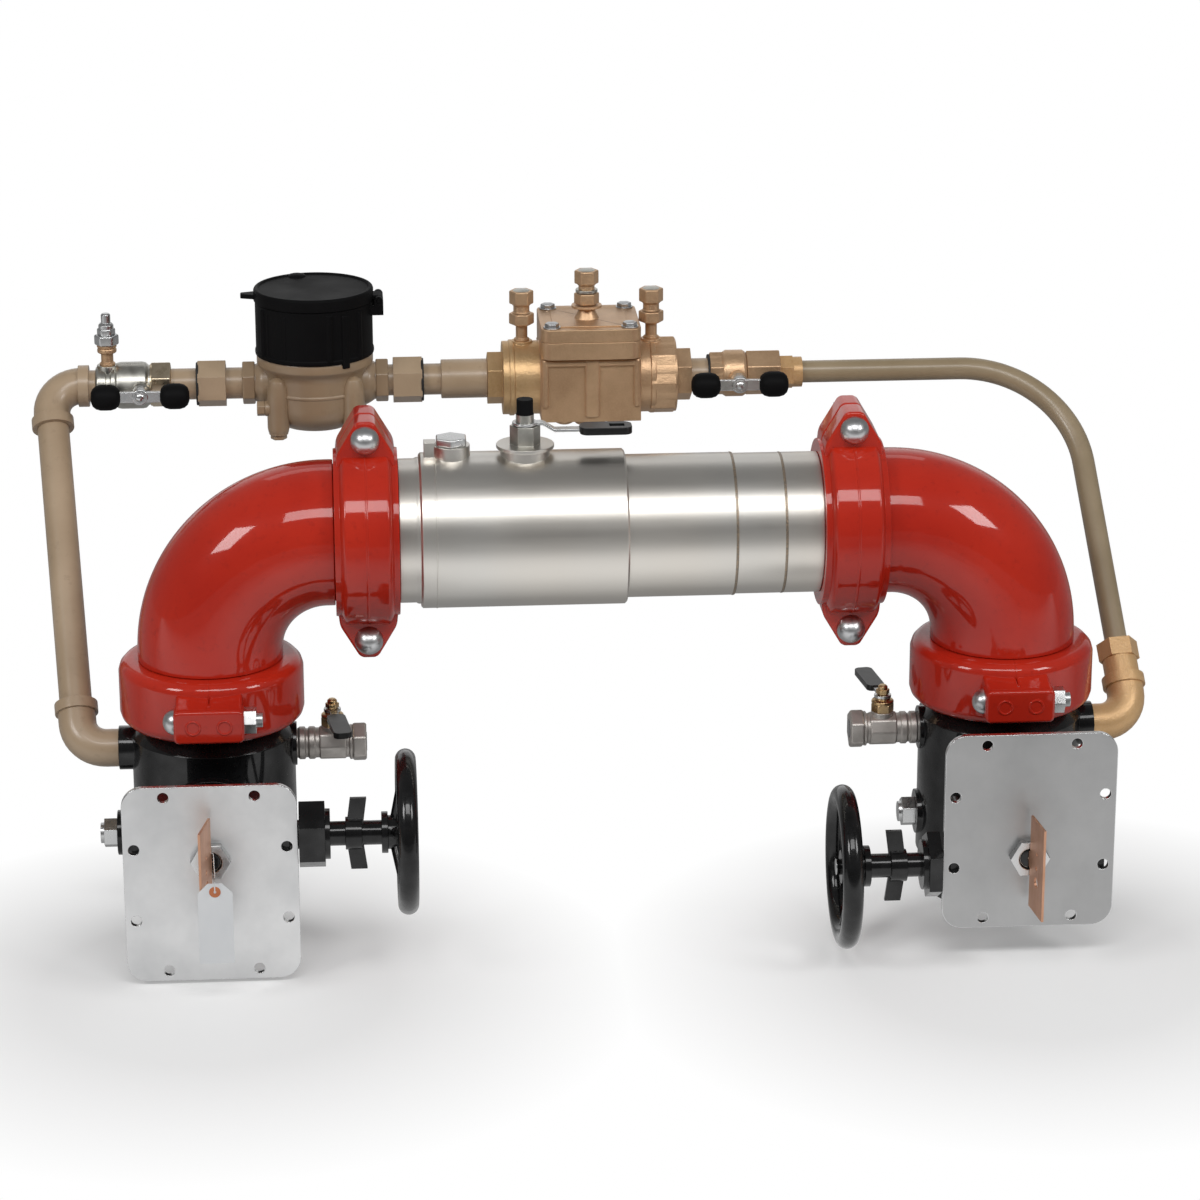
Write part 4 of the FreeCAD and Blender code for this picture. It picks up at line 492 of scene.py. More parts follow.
def block(length, width, height, centre=(0, 0, 0), edge=1.0):
    shape = bmesh.new()
    bmesh.ops.create_cube(
        shape, size=1.0, matrix=Matrix.Translation(centre) @ Matrix.Diagonal((length, width, height, 1)),
    )
    return eased(shape, edge)


def slab(outline, thickness, corner=0.0, edge=0.6):
    """A flat shape with rounded corners, standing on its outline."""
    shape = bmesh.new()
    shape.faces.new([shape.verts.new((x, y, 0.0)) for x, y in outline])
    if corner:
        bmesh.ops.bevel(
            shape, geom=shape.verts[:], offset=corner, offset_type="OFFSET", affect="VERTICES",
            segments=7, profile=0.5, material=-1,
        )
    raised = bmesh.ops.extrude_face_region(shape, geom=shape.faces[:])
    tops = [item for item in raised["geom"] if isinstance(item, bmesh.types.BMVert)]
    bmesh.ops.translate(shape, vec=(0, 0, thickness), verts=tops)
    bmesh.ops.recalc_face_normals(shape, faces=shape.faces)
    return eased(shape, edge)


def oblong(length, width):
    """The corners of a rectangle round the middle."""
    x, y = length / 2, width / 2
    return [(-x, -y), (x, -y), (x, y), (-x, y)]


def finished(name, shape, body, slot_name, stands_for=(), finish=None, areas=()):
    """The piece with its finish, on its body; areas give other finishes to faces that pass a test."""
    shape.transform(Matrix.Scale(MM, 4))
    mesh = bpy.data.meshes.new(name)
    mesh.materials.append(finish or FINISHES[slot_name])
    for number, (inside, other) in enumerate(areas, start=1):
        mesh.materials.append(other)
        for face in shape.faces:
            if inside(face.calc_center_median() / MM):
                face.material_index = number
    shape.to_mesh(mesh)
    shape.free()
    mesh.shade_smooth()
    mesh.set_sharp_from_angle(angle=math.radians(50))
    piece = bpy.data.objects.new(name, mesh)
    bpy.context.scene.collection.objects.link(piece)
    weighted = piece.modifiers.new("even_shading", "WEIGHTED_NORMAL")
    weighted.keep_sharp = True
    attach(piece, body)
    if stands_for:
        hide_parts(*stands_for)
    return piece


def softened(node, width, finish=None, areas=(), name=None, extra=()):
    """A node's own shape with its machined edges broken, and extra shapes that belong to it."""
    shape = bmesh.new()
    shape.from_mesh(frame["nodes"][node].data)
    shape.transform(Matrix.Scale(1 / MM, 4))
    bmesh.ops.remove_doubles(shape, verts=shape.verts, dist=0.002)
    bmesh.ops.dissolve_limit(
        shape, angle_limit=math.radians(FLAT_ANGLE), use_dissolve_boundaries=False,
        verts=shape.verts, edges=shape.edges,
    )
    shape = joined(eased(shape, width, segments=2, clamped=False), *extra)
    return finished(
        name or node + "_finished", shape, body_of[node], slot_of[node], (node,), finish, areas,
    )


# Grooved couplings

PIPE_COUPLING = [
    (55.55, -25.75), (67.6, -25.75), (68.4, -21.2), (71.6, -19.9), (74.2, -18.3), (75.0, -16.2),
    (75.0, -1.0), (75.5, -0.4), (75.5, 0.4), (75.0, 1.0),
    (75.0, 16.2), (74.2, 18.3), (71.6, 19.9), (68.4, 21.2), (67.6, 25.75), (55.55, 25.75),
    (55.55, 18.35), (66.0, 18.35), (66.0, -18.35), (55.55, -18.35),
]
VALVE_COUPLING = [
    (55.55, -25.75), (66.5, -25.75), (70.6, -24.4), (73.6, -21.2), (75.0, -16.6),
    (75.0, 16.6), (73.6, 21.2), (70.6, 24.4), (66.5, 25.75), (55.55, 25.75),
    (55.55, 18.35), (66.0, 18.35), (66.0, -18.35), (55.55, -18.35),
]


def coupling_half(outline, ear):
    """The half on the -Y side of an upright joint, ears to both sides."""
    half = turned(outline, 0.3, steps=72, degrees=-180, above=38)
    for side in (1, -1):
        arm = slab([(side * x, side * y) for x, y in ear], 26.5, 3.5, 2.4)
        half = joined(half, set_at(arm, turn=FRONT))
    return half


def coupling_pad():
    """The plain boss across both halves' ears, with a shallow ring at each side."""
    pad = set_at(slab(oblong(56.0, 27.5), 21.0, 4.5, 2.6), (0, -79.4, 0), FRONT)
    for side in (-1, 1):
        disc = turned([(4.4, 0), (5.0, 0.75), (6.0, 0.75), (6.6, 0)], 0.15, 40)
        pad = joined(pad, set_at(disc, (side * 12.5, -100.3, 0), FRONT))
    return pad


def couplings():
    pipe_ear = [(58, -24.5), (72, -23.0), (99.0, -7.0), (99.0, 7.0), (72, 23.0), (58, 24.5)]
    valve_ear = [(58, -20), (80, -15.5), (99.0, -13.0), (99.0, 13.0), (80, 15.5), (58, 20)]
    quarter = Matrix.Rotation(-math.pi / 2, 4, "Z")
    for name, across, height, turn, outline, ear, halves in (
        ("inlet_pipe_coupling", HOUSING_MIDDLE - PIPE_JOINT, HOUSING_AXIS, RIGHT,
         PIPE_COUPLING, pipe_ear, ("front", "back")),
        ("outlet_pipe_coupling", HOUSING_MIDDLE + PIPE_JOINT, HOUSING_AXIS, RIGHT,
         PIPE_COUPLING, pipe_ear, ("front", "back")),
        ("inlet_valve_coupling", INLET_RUN, VALVE_JOINT, quarter,
         VALVE_COUPLING, valve_ear, ("left", "right")),
        ("outlet_valve_coupling", OUTLET_RUN, VALVE_JOINT, quarter,
         VALVE_COUPLING, valve_ear, ("left", "right")),
    ):
        for way, facing in zip(halves, (UP, HALF_TURN)):
            half = set_at(coupling_half(outline, ear), (across, 0, height), turn @ facing)
            node = f"{name}_{way}"
            finished(node + "_casting", half, "frame", "red_paint", (node,))
    for side, run in (("inlet", INLET_RUN), ("outlet", OUTLET_RUN)):
        pad = set_at(coupling_pad(), (run, 0, VALVE_JOINT))
        finished(f"{side}_coupling_pad", pad, "frame", "red_paint")


# Check housing and its test valve

def housing():
    softened("check_housing", 0.3, extra=housing_marks())
    weld_seams()
    softened("access_plug", 1.2)
    boss_top = 394.6
    cap_bottom = 419.0
    softened("housing_test_valve_body", 0.5, areas=(
        (lambda at: at.z < boss_top, STAINLESS),
        (lambda at: at.z > cap_bottom, PLASTIC),
    ))
    grip = HOUSING_VALVE_AXIS + 43.6
    softened("housing_test_lever", 0.6, areas=((lambda at: at.x > grip, VINYL),), finish=ZINC)


def housing_marks():
    """A turned ring beside the sleeve's left end."""
    ring = turned([(62.4, 0), (63.25, 0.5), (63.35, 1.0), (63.25, 1.5), (62.4, 2.0)], 0.0, 128)
    return (set_at(ring, (HOUSING_LEFT + 53.0, 0, HOUSING_AXIS), RIGHT),)


def weld_seams():
    """Heat-darkened beads where the outlet stub is welded on and scribed."""
    beads = bmesh.new()
    for station, radius in ((293.8, 58.0), (333.5, 57.15)):
        bead = turned([
            (radius - 1.4, -1.1), (radius, -1.1), (radius + 0.3, -0.5), (radius + 0.3, 0.5),
            (radius, 1.1), (radius - 1.4, 1.1),
        ], 0.0, 160)
        beads = joined(beads, set_at(bead, (HOUSING_LEFT + station, 0, HOUSING_AXIS), RIGHT))
    finished("weld_seams", beads, "frame", "stainless", finish=SEAM_STEEL)


def elbows():
    softened("inlet_elbow", 0.8)
    softened("outlet_elbow", 0.8)
    collars = []
    for across in (HOUSING_MIDDLE - PIPE_JOINT, HOUSING_MIDDLE + PIPE_JOINT):
        for up in (-84.0, 84.0):
            collar = turned([
                (0, 0), (11.6, 0), (11.6, 1.2), (10.9, 3.4), (9.2, 6.6), (6.4, 9.2), (3.2, 10.7), (0, 11.1),
            ], 0.2, 64)
            collars.append(set_at(collar, (across, -26.5, HOUSING_AXIS + up), FRONT))
    softened("coupling_bolts", 0.6, extra=collars, finish=BOLT_STEEL)
    softened("coupling_nuts", 0.4)
    softened("stem_lock_nuts", 0.6)


# Butterfly valves with their gear operators

def operators():
    hub_faces = {"inlet": lambda at: at.x > 160.4, "outlet": lambda at: at.x < 497.4}
    for side in ("inlet", "outlet"):
        softened(f"{side}_drive_shaft", 0.4, areas=((hub_faces[side], ZINC),))
        softened(f"{side}_valve_body", 0.5)
        softened(f"{side}_gearbox", 0.4)
        # The outlet cover plate takes the darker copy of the plate finish, which is painted shade
        softened(
            f"{side}_cover_plate", 0.5, finish=None if side == "inlet" else SHADE_PAINTED_PLATE,
            areas=((lambda at: COVER_FACE + 0.05 < at.y < COVER_FACE + 4.95, ZINC),),
        )
        softened(f"{side}_handwheel", 0.3)
        softened(f"{side}_flag", 0.12)
        stem_end_painted_shade(side)
    softened("body_plugs", 0.36, finish=ZINC)


def stem_end_painted_shade(side):
    """The stem's end inside its nut, black as painted shade in the nut's recess."""
    height = {"inlet": 106.5, "outlet": 90.0}[side]
    run = {"inlet": INLET_RUN, "outlet": OUTLET_RUN}[side]
    end = turned([(0, 0), (8.0, 0), (8.0, 2.2), (7.2, 3.0), (1.6, 3.0), (1.6, 1.0), (0, 1.0)], 0, 48)
    # The black stem end is painted shade inside the nut
    finished(
        f"{side}_stem_end_painted_shade", set_at(end, (run, COVER_FACE - 2.6, height), FRONT),
        f"{side}_closure", "black_paint",
    )


# Paper tag

def paper_tag():
    low, high = (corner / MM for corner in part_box("paper_tag"))
    across = (low.x + high.x) / 2
    plane = (low.y + high.y) / 2
    half = 13.5
    card = slab([
        (8 - half, 0), (-half, -8), (-half, -67), (half, -67), (half, -8), (half - 8, 0),
    ], 0.6, 0.8, 0.12)
    finished("hanging_card", set_at(card, (across, plane + 0.3, high.z), FRONT), "hanging_tag", "card",
             ("paper_tag",))
    eyelet = turned([
        (1.1, -0.62), (3.9, -0.62), (4.5, -0.4), (4.5, 0.4), (3.9, 0.62), (1.1, 0.62),
    ], 0.12, 48)
    finished("tag_eyelet", set_at(eyelet, (across, plane, high.z - 7), FRONT), "hanging_tag", "card",
             ("paper_tag",), ORANGE)


# Side test valves

def side_test_valves():
    """Ball valves with a ringed nipple, an eight-sided body and a six-sided mouth."""
    grey = []
    gold = []
    bore_shade_discs = []
    for run, turn in ((INLET_RUN, RIGHT), (OUTLET_RUN, LEFT)):
        nipple = turned([
            (0, 52.0), (12.2, 52.0), (12.2, 69.0), (13.5, 70.2), (13.5, 74.4), (12.0, 75.4), (12.0, 77.0),
            (13.5, 78.2), (13.5, 82.2), (12.4, 83.4), (12.4, 87.0), (0, 87.0),
        ], 0.3, 64)
        chest = set_at(sided_bar(27.0, 22.4, 1.6, 8), (0, 0, 86.2))
        waist = turned([
            (0, 108), (12.6, 108), (12.6, 110.6), (14.4, 111.4), (14.4, 113.2), (12.8, 114.0), (0, 114.0),
        ], 0.3, 64)
        mouth = set_at(sided_bar(29.0, 11.6, 2.0), (0, 0, 113.4))
        grey.append(set_at(joined(nipple, chest, waist, mouth), (run, 0, SIDE_AXIS), turn))
        # A thin black disc on each mouth's end face is painted shade for the open bore
        bore_shade = turned([(0, 125.05), (7.6, 125.05), (7.6, 125.3), (0, 125.3)], 0, 40)
        bore_shade_discs.append(set_at(bore_shade, (run, 0, SIDE_AXIS), turn))
        stem = run + (TEST_STEM if turn is RIGHT else -TEST_STEM)
        boss = turned([(0, 8), (9.5, 8), (9.5, 15.2), (0, 15.2)], 0.8, 48)
        grey.append(set_at(boss, (stem, 0, SIDE_AXIS)))
        bonnet = joined(
            set_at(sided_bar(16.5, 7.0, 0.8), (0, 0, 15.0)),
            turned([
                (0, 21.6), (8.8, 21.6), (9.2, 22.6), (9.2, 24.4), (8.2, 25.4), (6.4, 25.9), (6.4, 27.2),
                (0, 27.2),
            ], 0.3, 48),
            turned([(0, 27.0), (4.0, 27.0), (4.0, 36.6), (2.6, 38.0), (0, 38.0)], 0.2, 40),
            set_at(sided_bar(10.0, 4.0, 0.6), (0, 0, 30.4)),
        )
        gold.append(set_at(bonnet, (stem, 0, SIDE_AXIS)))
    bodies = ("side_test_valve_bodies",)
    finished("side_valve_castings", joined(*grey), "frame", "nickel_bronze", bodies)
    finished("side_valve_bonnets", joined(*gold), "frame", "nickel_bronze", bodies, BRASS)
    # The black discs on the mouths are painted shade
    finished("side_valve_bore_shade", joined(*bore_shade_discs), "frame", "black_paint", bodies)
    for side, stem in (("inlet", TEST_STEM), ("outlet", OUTLET_RUN - TEST_STEM)):
        def at_hub(at, stem=stem):
            return math.hypot(at.x - stem, at.y) < 17.6
        softened(f"{side}_test_lever", 0.35, areas=((at_hub, ZINC),))


# Bypass line

def bypass_line():
    softened("street_elbows", 0.3, areas=((lambda at: at.x > 600, FOOT_BRONZE),))
    softened("riser_pipe", 0.6)
    softened("bypass_pipes", 0.6)
    softened("bypass_outlet_tube", 0.3, finish=TUBE_TAN)
    softened("pipe_nuts", 0.2, areas=((lambda at: at.x > 480, FOOT_BRONZE),))
    edge_rings = []
    for station, radius in ((-10.9, 18.4), (180.5, 18.4), (426.4, 16.6)):
        ring = turned([(13.4, -1.1), (radius, -1.1), (radius, 1.1), (13.4, 1.1)], 0.5, 64)
        edge_rings.append(set_at(ring, (station, BYPASS_BACK, BYPASS_AXIS), RIGHT))
    finished("union_gaskets", joined(*edge_rings), "frame", "gasket_rubber")


def ball_stem(across):
    stem = turned([(0, 0), (8.0, 0), (8.0, 25.0), (6.4, 27.0), (0, 27.0)], 0.4, 48)
    return set_at(stem, (across, BYPASS_BACK, BYPASS_AXIS), FRONT)


def bypass_valves():
    centre = (0, BYPASS_BACK, BYPASS_AXIS)
    barrel = turned([
        (10.6, -96.9), (15.6, -96.9), (16.9, -95.0), (16.9, -88.5), (15.6, -87.6), (15.6, -84.4),
        (17.4, -83.6), (17.4, -80.4), (19.4, -78.6), (20.0, -75.5), (20.0, -57.5), (19.4, -54.5),
        (17.0, -52.2), (17.0, -50.4), (10.6, -50.4),
    ], 0.5, 96)
    boss = turned([(0, 0), (9.0, 0), (9.0, 18.5), (0, 18.5)], 0.8, 48)
    silver = joined(
        set_at(barrel, centre, RIGHT),
        ball_stem(INLET_BALL),
        set_at(boss, (INLET_COCK, BYPASS_BACK, BYPASS_AXIS)),
    )
    finished("inlet_ball_barrel", silver, "frame", "bright_brass", ("bypass_inlet_valve_body",))
    collar = turned([(10.6, -50.9), (18.0, -50.9), (18.0, -49.0), (10.6, -49.0)], 0.5, 64)
    end = set_at(sided_bar(34.0, 16.4, 1.0), (-49.9, 0, 0), RIGHT)
    tail = joined(collar, set_at(end, turn=LEFT))
    finished("inlet_ball_tail", set_at(tail, centre, RIGHT), "frame", "tan_bronze",
             ("bypass_inlet_valve_body",), PALE_BRASS)

    body = turned([
        (10.6, 426.2), (16.0, 426.2), (17.0, 428.2), (17.0, 437.0), (18.4, 438.4), (20.0, 441.0),
        (20.0, 455.5), (18.2, 458.0), (10.6, 458.0),
    ], 0.5, 96)
    tail = sided_bar(34.0, 29.0, 1.0)
    first = sided_bar(33.0, 14.0, 1.0)
    bronze = joined(
        set_at(body, centre, RIGHT),
        set_at(first, (427.0, BYPASS_BACK, BYPASS_AXIS), RIGHT),
        set_at(tail, (458.4, BYPASS_BACK, BYPASS_AXIS), RIGHT),
        ball_stem(OUTLET_BALL),
    )
    finished("outlet_ball_body", bronze, "frame", "bronze", ("bypass_outlet_valve_body",))

    for side, across in (("inlet", INLET_BALL), ("outlet", OUTLET_BALL)):
        handle(side, across)


def handle(side, across):
    """A flat chromed bar with a domed hub nut and an oval black knob at each end."""
    middle = (across, BYPASS_BACK - 38.0, BYPASS_AXIS)
    bar = slab([
        (-31, -4.6), (-8, -4.9), (8, -4.9), (31, -4.6), (31, 4.6), (8, 4.9), (-8, 4.9), (-31, 4.6),
    ], 4.0, 0.8, 0.9)
    hub = turned([(0, -10.7), (7.5, -10.7), (7.5, 0.6), (6.6, 2.4), (0, 2.4)], 0.6, 48)
    nut = turned([
        (0, 5.2), (1.6, 5.1), (3.0, 4.6), (4.1, 3.6), (4.5, 2.4), (4.5, 1.2), (0, 1.2),
    ], 0.0, 40)
    flats = set_at(sided_bar(9.6, 2.6, 0.4), (0, 0, 1.4))
    chrome = joined(set_at(bar, (0, 0, -2.0)), hub, nut, flats)
    node = f"bypass_{side}_handle"
    chrome = set_at(chrome, middle, FRONT)
    finished(f"{side}_handle_bar", chrome, body_of[node], "bright_brass", (node,), ZINC)
    knobs = []
    for way, turn in ((-1, LEFT), (1, RIGHT)):
        knob = turned([
            (0, -12.5), (4.0, -12.3), (7.4, -11.0), (9.8, -8.2), (10.9, -4.4), (11.0, 0.0),
            (10.9, 4.4), (9.8, 8.2), (7.4, 11.0), (4.0, 12.3), (0, 12.5),
        ], 0.0, 64)
        knobs.append(set_at(knob, (middle[0] + way * 29.0, middle[1], middle[2]), turn))
    finished(f"{side}_handle_knobs", joined(*knobs), body_of[node], "black_plastic", (node,), PLASTIC)


# Water meter

def meter():
    centre = Vector((METER_AXIS, BYPASS_BACK, BYPASS_AXIS))
    pot = turned([
        (0, -36.0), (28.5, -36.0), (31.0, -34.6), (35.6, -31.5), (40.2, -27.4), (43.0, -22.4), (43.8, -16.0),
        (43.9, -5.4), (44.6, -4.8), (44.6, -3.0), (43.9, -2.4), (44.0, 8.0), (44.6, 12.0), (46.6, 15.4),
        (49.0, 17.8), (49.5, 19.2), (49.5, 24.6), (48.6, 26.3), (0, 26.3),
    ], 0.5, 128)
    parts = [set_at(pot, centre)]
    for side, turn in ((-1, LEFT), (1, RIGHT)):
        spud = turned([
            (0, 20), (21.0, 20), (20.0, 44.0), (18.4, 47.0), (17.0, 49.0), (16.0, 50.5), (16.0, 53.0),
            (0, 53.0),
        ], 0.4, 64)
        parts.append(set_at(spud, centre, turn))
        nut = sided_bar(33.0, 10.6, 1.1)
        parts.append(set_at(nut, centre + Vector((side * 51.4, 0, 0)), turn))
        lug = turned([
            (0, -36), (7.6, -36), (8.6, -34.5), (9.3, -31.0), (9.3, -6.0), (8.6, 4.0), (6.6, 10.0),
            (3.0, 12.5), (0, 12.8),
        ], 0.4, 48)
        place = centre + Vector((side * 32.0, -32.0, 0))
        parts.append(set_at(lug, place))
        cap = set_at(sided_bar(12.5, 5.0, 0.8), place + Vector((0, 0, -40.8)))
        parts.append(cap)
        collar = turned([(0, -36.6), (8.2, -36.6), (8.2, -34.2), (0, -34.2)], 0.5, 48)
        parts.append(set_at(collar, place))
    plug = turned([(0, 26), (7.8, 26), (7.8, 36.5), (6.6, 37.5), (6.6, 43.0), (0, 43.0)], 0.5, 48)
    side_port = centre + Vector((0, -32.0, -14.0))
    parts.append(set_at(plug, side_port, LEFT))
    parts.append(set_at(sided_bar(11.5, 6.8, 0.7), side_port + Vector((-43.0, 0, 0)), LEFT))
    finished("meter_pot", joined(*parts), "frame", "tan_bronze", ("meter_body",), METER_TAN)
    ring = turned([(13.4, -1.4), (15.8, -1.4), (15.8, 1.4), (13.4, 1.4)], 0.8, 64)
    finished("meter_port_ring", set_at(ring, (143.6, BYPASS_BACK, BYPASS_AXIS), RIGHT), "frame",
             "gasket_rubber")
    register()


def register():
    ribs = []
    for angle, reach, width, low in ((-58, 51.0, 7.0, -4.0), (-120, 50.4, 3.0, 3.0), (-142, 50.4, 3.0, 3.0)):
        rib = block(6.0, width, 42.0 - low, (reach - 3.0, 0, (42.0 + low) / 2), 1.0)
        turn = Matrix.Rotation(math.radians(angle), 4, "Z")
        ribs.append(set_at(rib, (METER_AXIS, BYPASS_BACK, REGISTER_BASE), turn))
    foot = turned([(46.0, 0.2), (50.3, 0.2), (50.6, 1.6), (50.6, 3.6), (49.9, 4.6), (46.0, 4.6)], 0.4, 128)
    ribs.append(set_at(foot, (METER_AXIS, BYPASS_BACK, REGISTER_BASE)))
    softened("meter_register_box", 0.45, extra=ribs)
    box_height, lid_height = 46.4, 9.6
    top = REGISTER_BASE + box_height + lid_height
    rim = turned([
        (46.4, -1.2), (50.4, -1.2), (50.4, 0.4), (49.4, 1.3), (47.6, 1.3), (46.4, 0.2),
    ], 0.3, 128)
    hump = turned([(0, 2.4), (4.0, 2.2), (6.8, 1.4), (8.0, 0.0), (8.0, -1.0), (0, -1.0)], 0.0, 48)
    softened("meter_lid", 0.7, extra=(
        set_at(rim, (METER_AXIS, BYPASS_BACK, top)),
        set_at(hump, (METER_AXIS - 14.0, BYPASS_BACK + 41.5, top)),
    ))


# Bypass double check

def bypass_check():
    centre = Vector((CHECK_AXIS, BYPASS_BACK, BYPASS_AXIS))
    front = -35.0
    cast = []
    for across, width, low, high in (
        (1.0, 13.0, -27.0, 25.0), (-39.0, 6.0, -18.0, 25.0), (39.0, 6.0, -18.0, 25.0),
    ):
        web = block(width, 6.0, high - low, (across, front - 0.2, (high + low) / 2), 2.6)
        cast.append(set_at(web, centre))
    cast.append(set_at(block(84.0, 5.0, 6.0, (0, front - 0.2, 21.0), 2.2), centre))
    for across in (-22.0, 22.0):
        foot = turned([(0, 0), (9.0, 0), (8.0, 5.0), (5.0, 6.5), (0, 7.0)], 0.6, 40)
        cast.append(set_at(foot, centre + Vector((across, -16.0, -30.5)), DOWN))
    nub = turned([(0, 0), (7.0, 0), (7.0, 3.0), (5.5, 4.5), (0, 4.5)], 0.5, 40)
    cast.append(set_at(nub, centre + Vector((0, -17.5, -35.5)), DOWN))
    for station, turn in ((-66.5, RIGHT), (54.0, RIGHT)):
        band = turned([(30, -2.4), (32.6, -2.4), (32.6, 2.4), (30, 2.4)], 1.2, 96)
        cast.append(set_at(band, centre + Vector((station, 0, 0)), turn))
    facets = set_at(sided_bar(62.5, 22.0, 1.4, 8), centre + Vector((51.5, 0, 0)), RIGHT)
    cast.append(facets)
    softened("bypass_check_body", 0.6, extra=cast, areas=(
        (lambda at: at.x < 280 and abs(at.z - BYPASS_AXIS) < 34, GOLD_BRONZE),
    ))
    top = BYPASS_AXIS + 40.4 + 11.3
    border = slab(oblong(64, 66), 1.2, 5.0, 0.5)
    softened("bypass_check_cover", 0.8, name="check_lid")
    border = set_at(sunk_middle(border, 5.0, 0.9), (CHECK_AXIS, BYPASS_BACK, top - 0.2))
    finished("check_lid_border", border, "frame", "bronze")
    screws = bmesh.new()
    for left in (-33, 33):
        for back in (-33, 33):
            head = sided_bar(11.0, 4.3, 0.8)
            dome = turned([(0, 4.9), (3.2, 4.7), (4.8, 4.0), (0, 4.0)], 0.0, 32)
            washer = turned([(0, 0), (7.4, 0), (7.4, 1.1), (0, 1.1)], 0.4, 40)
            screw = joined(head, dome, washer)
            screws = joined(screws, set_at(screw, (CHECK_AXIS + left, BYPASS_BACK + back, top)))
    finished("check_lid_screws", screws, "frame", "bronze", ("cover_screws",), BOLT_STEEL)


def sunk_middle(shape, border, depth):
    """Sink the middle of a thin slab so that only its border stands up."""
    top = max(shape.faces, key=lambda face: face.calc_center_median().z * 1e3 + face.calc_area())
    bmesh.ops.inset_individual(shape, faces=[top], thickness=border, use_even_offset=True)
    bmesh.ops.translate(shape, vec=(0, 0, -depth), verts=top.verts[:])
    return shape


def test_cocks():
    """Left, centre and right cocks on the check, and the one on the inlet ball valve."""
    bases = (
        (265.95, BYPASS_AXIS + 33.0, False), (321.65, BYPASS_AXIS + 49.7, True),
        (376.85, BYPASS_AXIS + 33.0, False),
    )
    brown = bmesh.new()
    white = bmesh.new()
    for across, base, flanged in bases:
        neck = turned([
            (0, 0), (6.6, 0), (6.6, 1.6), (5.0, 2.6), (5.0, 12.4), (6.4, 13.4), (6.4, 14.6), (0, 14.6),
        ], 0.3, 40)
        hexes = joined(
            set_at(sided_bar(19.0, 9.5, 1.1), (0, 0, 14.5)), set_at(sided_bar(18.4, 11.6, 1.1), (0, 0, 32.0)),
        )
        waist = turned([
            (0, 23.5), (8.0, 24.4), (6.9, 25.4), (6.9, 30.4), (8.0, 31.4), (8.0, 32.6), (0, 32.6),
        ], 0.3, 40)
        if flanged:
            skirt = turned([(0, 0), (11.5, 0), (8.0, 7.0), (6.4, 11.0), (0, 11.0)], 0.4, 48)
            plate = turned([(0, 11.5), (13.0, 11.5), (13.0, 13.6), (0, 13.6)], 0.5, 48)
            neck = joined(neck, skirt, plate)
            pale = turned([(0, 24.6), (9.4, 24.6), (9.4, 27.2), (0, 27.2)], 0.5, 48)
            white = joined(white, set_at(pale, (across, BYPASS_BACK, base)))
        top = turned([(0, 44.5), (4.4, 44.5), (6.6, 43.9), (7.6, 43.3), (7.6, 42.0), (0, 42.0)], 0.2, 40)
        white = joined(white, set_at(top, (across, BYPASS_BACK, base)))
        brown = joined(brown, set_at(joined(neck, hexes, waist), (across, BYPASS_BACK, base)))
    gold = joined(
        turned([(0, 0), (6.6, 0), (6.6, 1.6), (5.2, 2.6), (5.2, 11.0), (0, 11.0)], 0.3, 40),
        turned([
            (0, 10.6), (7.2, 10.6), (8.2, 11.6), (8.2, 14.0), (7.4, 15.0), (8.4, 16.0), (8.4, 18.0),
            (0, 18.0),
        ], 0.4, 48),
    )
    silver = joined(
        set_at(sided_bar(18.6, 9.0, 1.6), (0, 0, 17.6)),
        set_at(sided_bar(14.0, 6.0, 1.4), (0, 0, 26.2)),
        turned([
            (0, 31.8), (6.4, 31.8), (6.4, 35.0), (5.2, 36.4), (4.0, 36.8), (4.0, 43.6), (3.0, 44.9),
            (0, 45.0),
        ], 0.3, 40),
    )
    place = (INLET_COCK, BYPASS_BACK, BYPASS_AXIS + 18.5)
    brown = joined(brown, set_at(gold, place))
    finished("test_cock_bodies", brown, "frame", "bronze", ("test_cocks",), BRONZE)
    finished("test_cock_ends", white, "frame", "bright_brass", ("test_cocks",), FINISHES["bright_brass"])
    finished("inlet_cock_end", set_at(silver, place), "frame", "bright_brass", ("test_cocks",), ZINC)


# Photographer's camera, lamps and floor

CAMERA_TURN = math.radians(3.86)
CAMERA_RISE = math.radians(18.64)
CAMERA_ROLL = math.radians(-0.13)
CAMERA_DISTANCE = 3260.55 * MM
CAMERA_TARGET = Vector((317.39, 0.0, 260.09)) * MM
CAMERA_LENS = 120.0
WHITE = (1.0, 1.0, 1.0)
LAMP_AIM = (0.324, 0.0, 0.25)
# Name, place, width and height in metres, and power in watts
LAMPS = (
    ("key", (0.35, -1.9, 2.45), 2.2, 0.7, 33.0),
    ("left", (-1.75, -1.45, 1.95), 0.8, 0.8, 22.0),
    ("right", (2.4, -1.45, 1.95), 0.8, 0.8, 22.0),
    ("back", (0.3, 1.9, 2.1), 2.2, 0.45, 3.0),
)
FLOOR_LIFT = 0.27
# The floor turns white for the camera between these distances from a point before each valve
WHITE_BEFORE = 0.17
WHITE_FROM = 0.14
WHITE_FULL = 0.34


def camera():
    data = bpy.data.cameras.new("camera")
    data.lens = CAMERA_LENS
    data.sensor_width = 36.0
    data.clip_end = 60.0
    made = bpy.data.objects.new("camera", data)
    bpy.context.scene.collection.objects.link(made)
    back = Vector((
        -math.sin(CAMERA_TURN) * math.cos(CAMERA_RISE),
        -math.cos(CAMERA_TURN) * math.cos(CAMERA_RISE),
        math.sin(CAMERA_RISE),
    ))
    facing = (-back).to_track_quat("-Z", "Y").to_matrix().to_4x4()
    made.matrix_world = (
        Matrix.Translation(CAMERA_TARGET + back * CAMERA_DISTANCE)
        @ facing @ Matrix.Rotation(CAMERA_ROLL, 4, "Z")
    )
    bpy.context.scene.camera = made


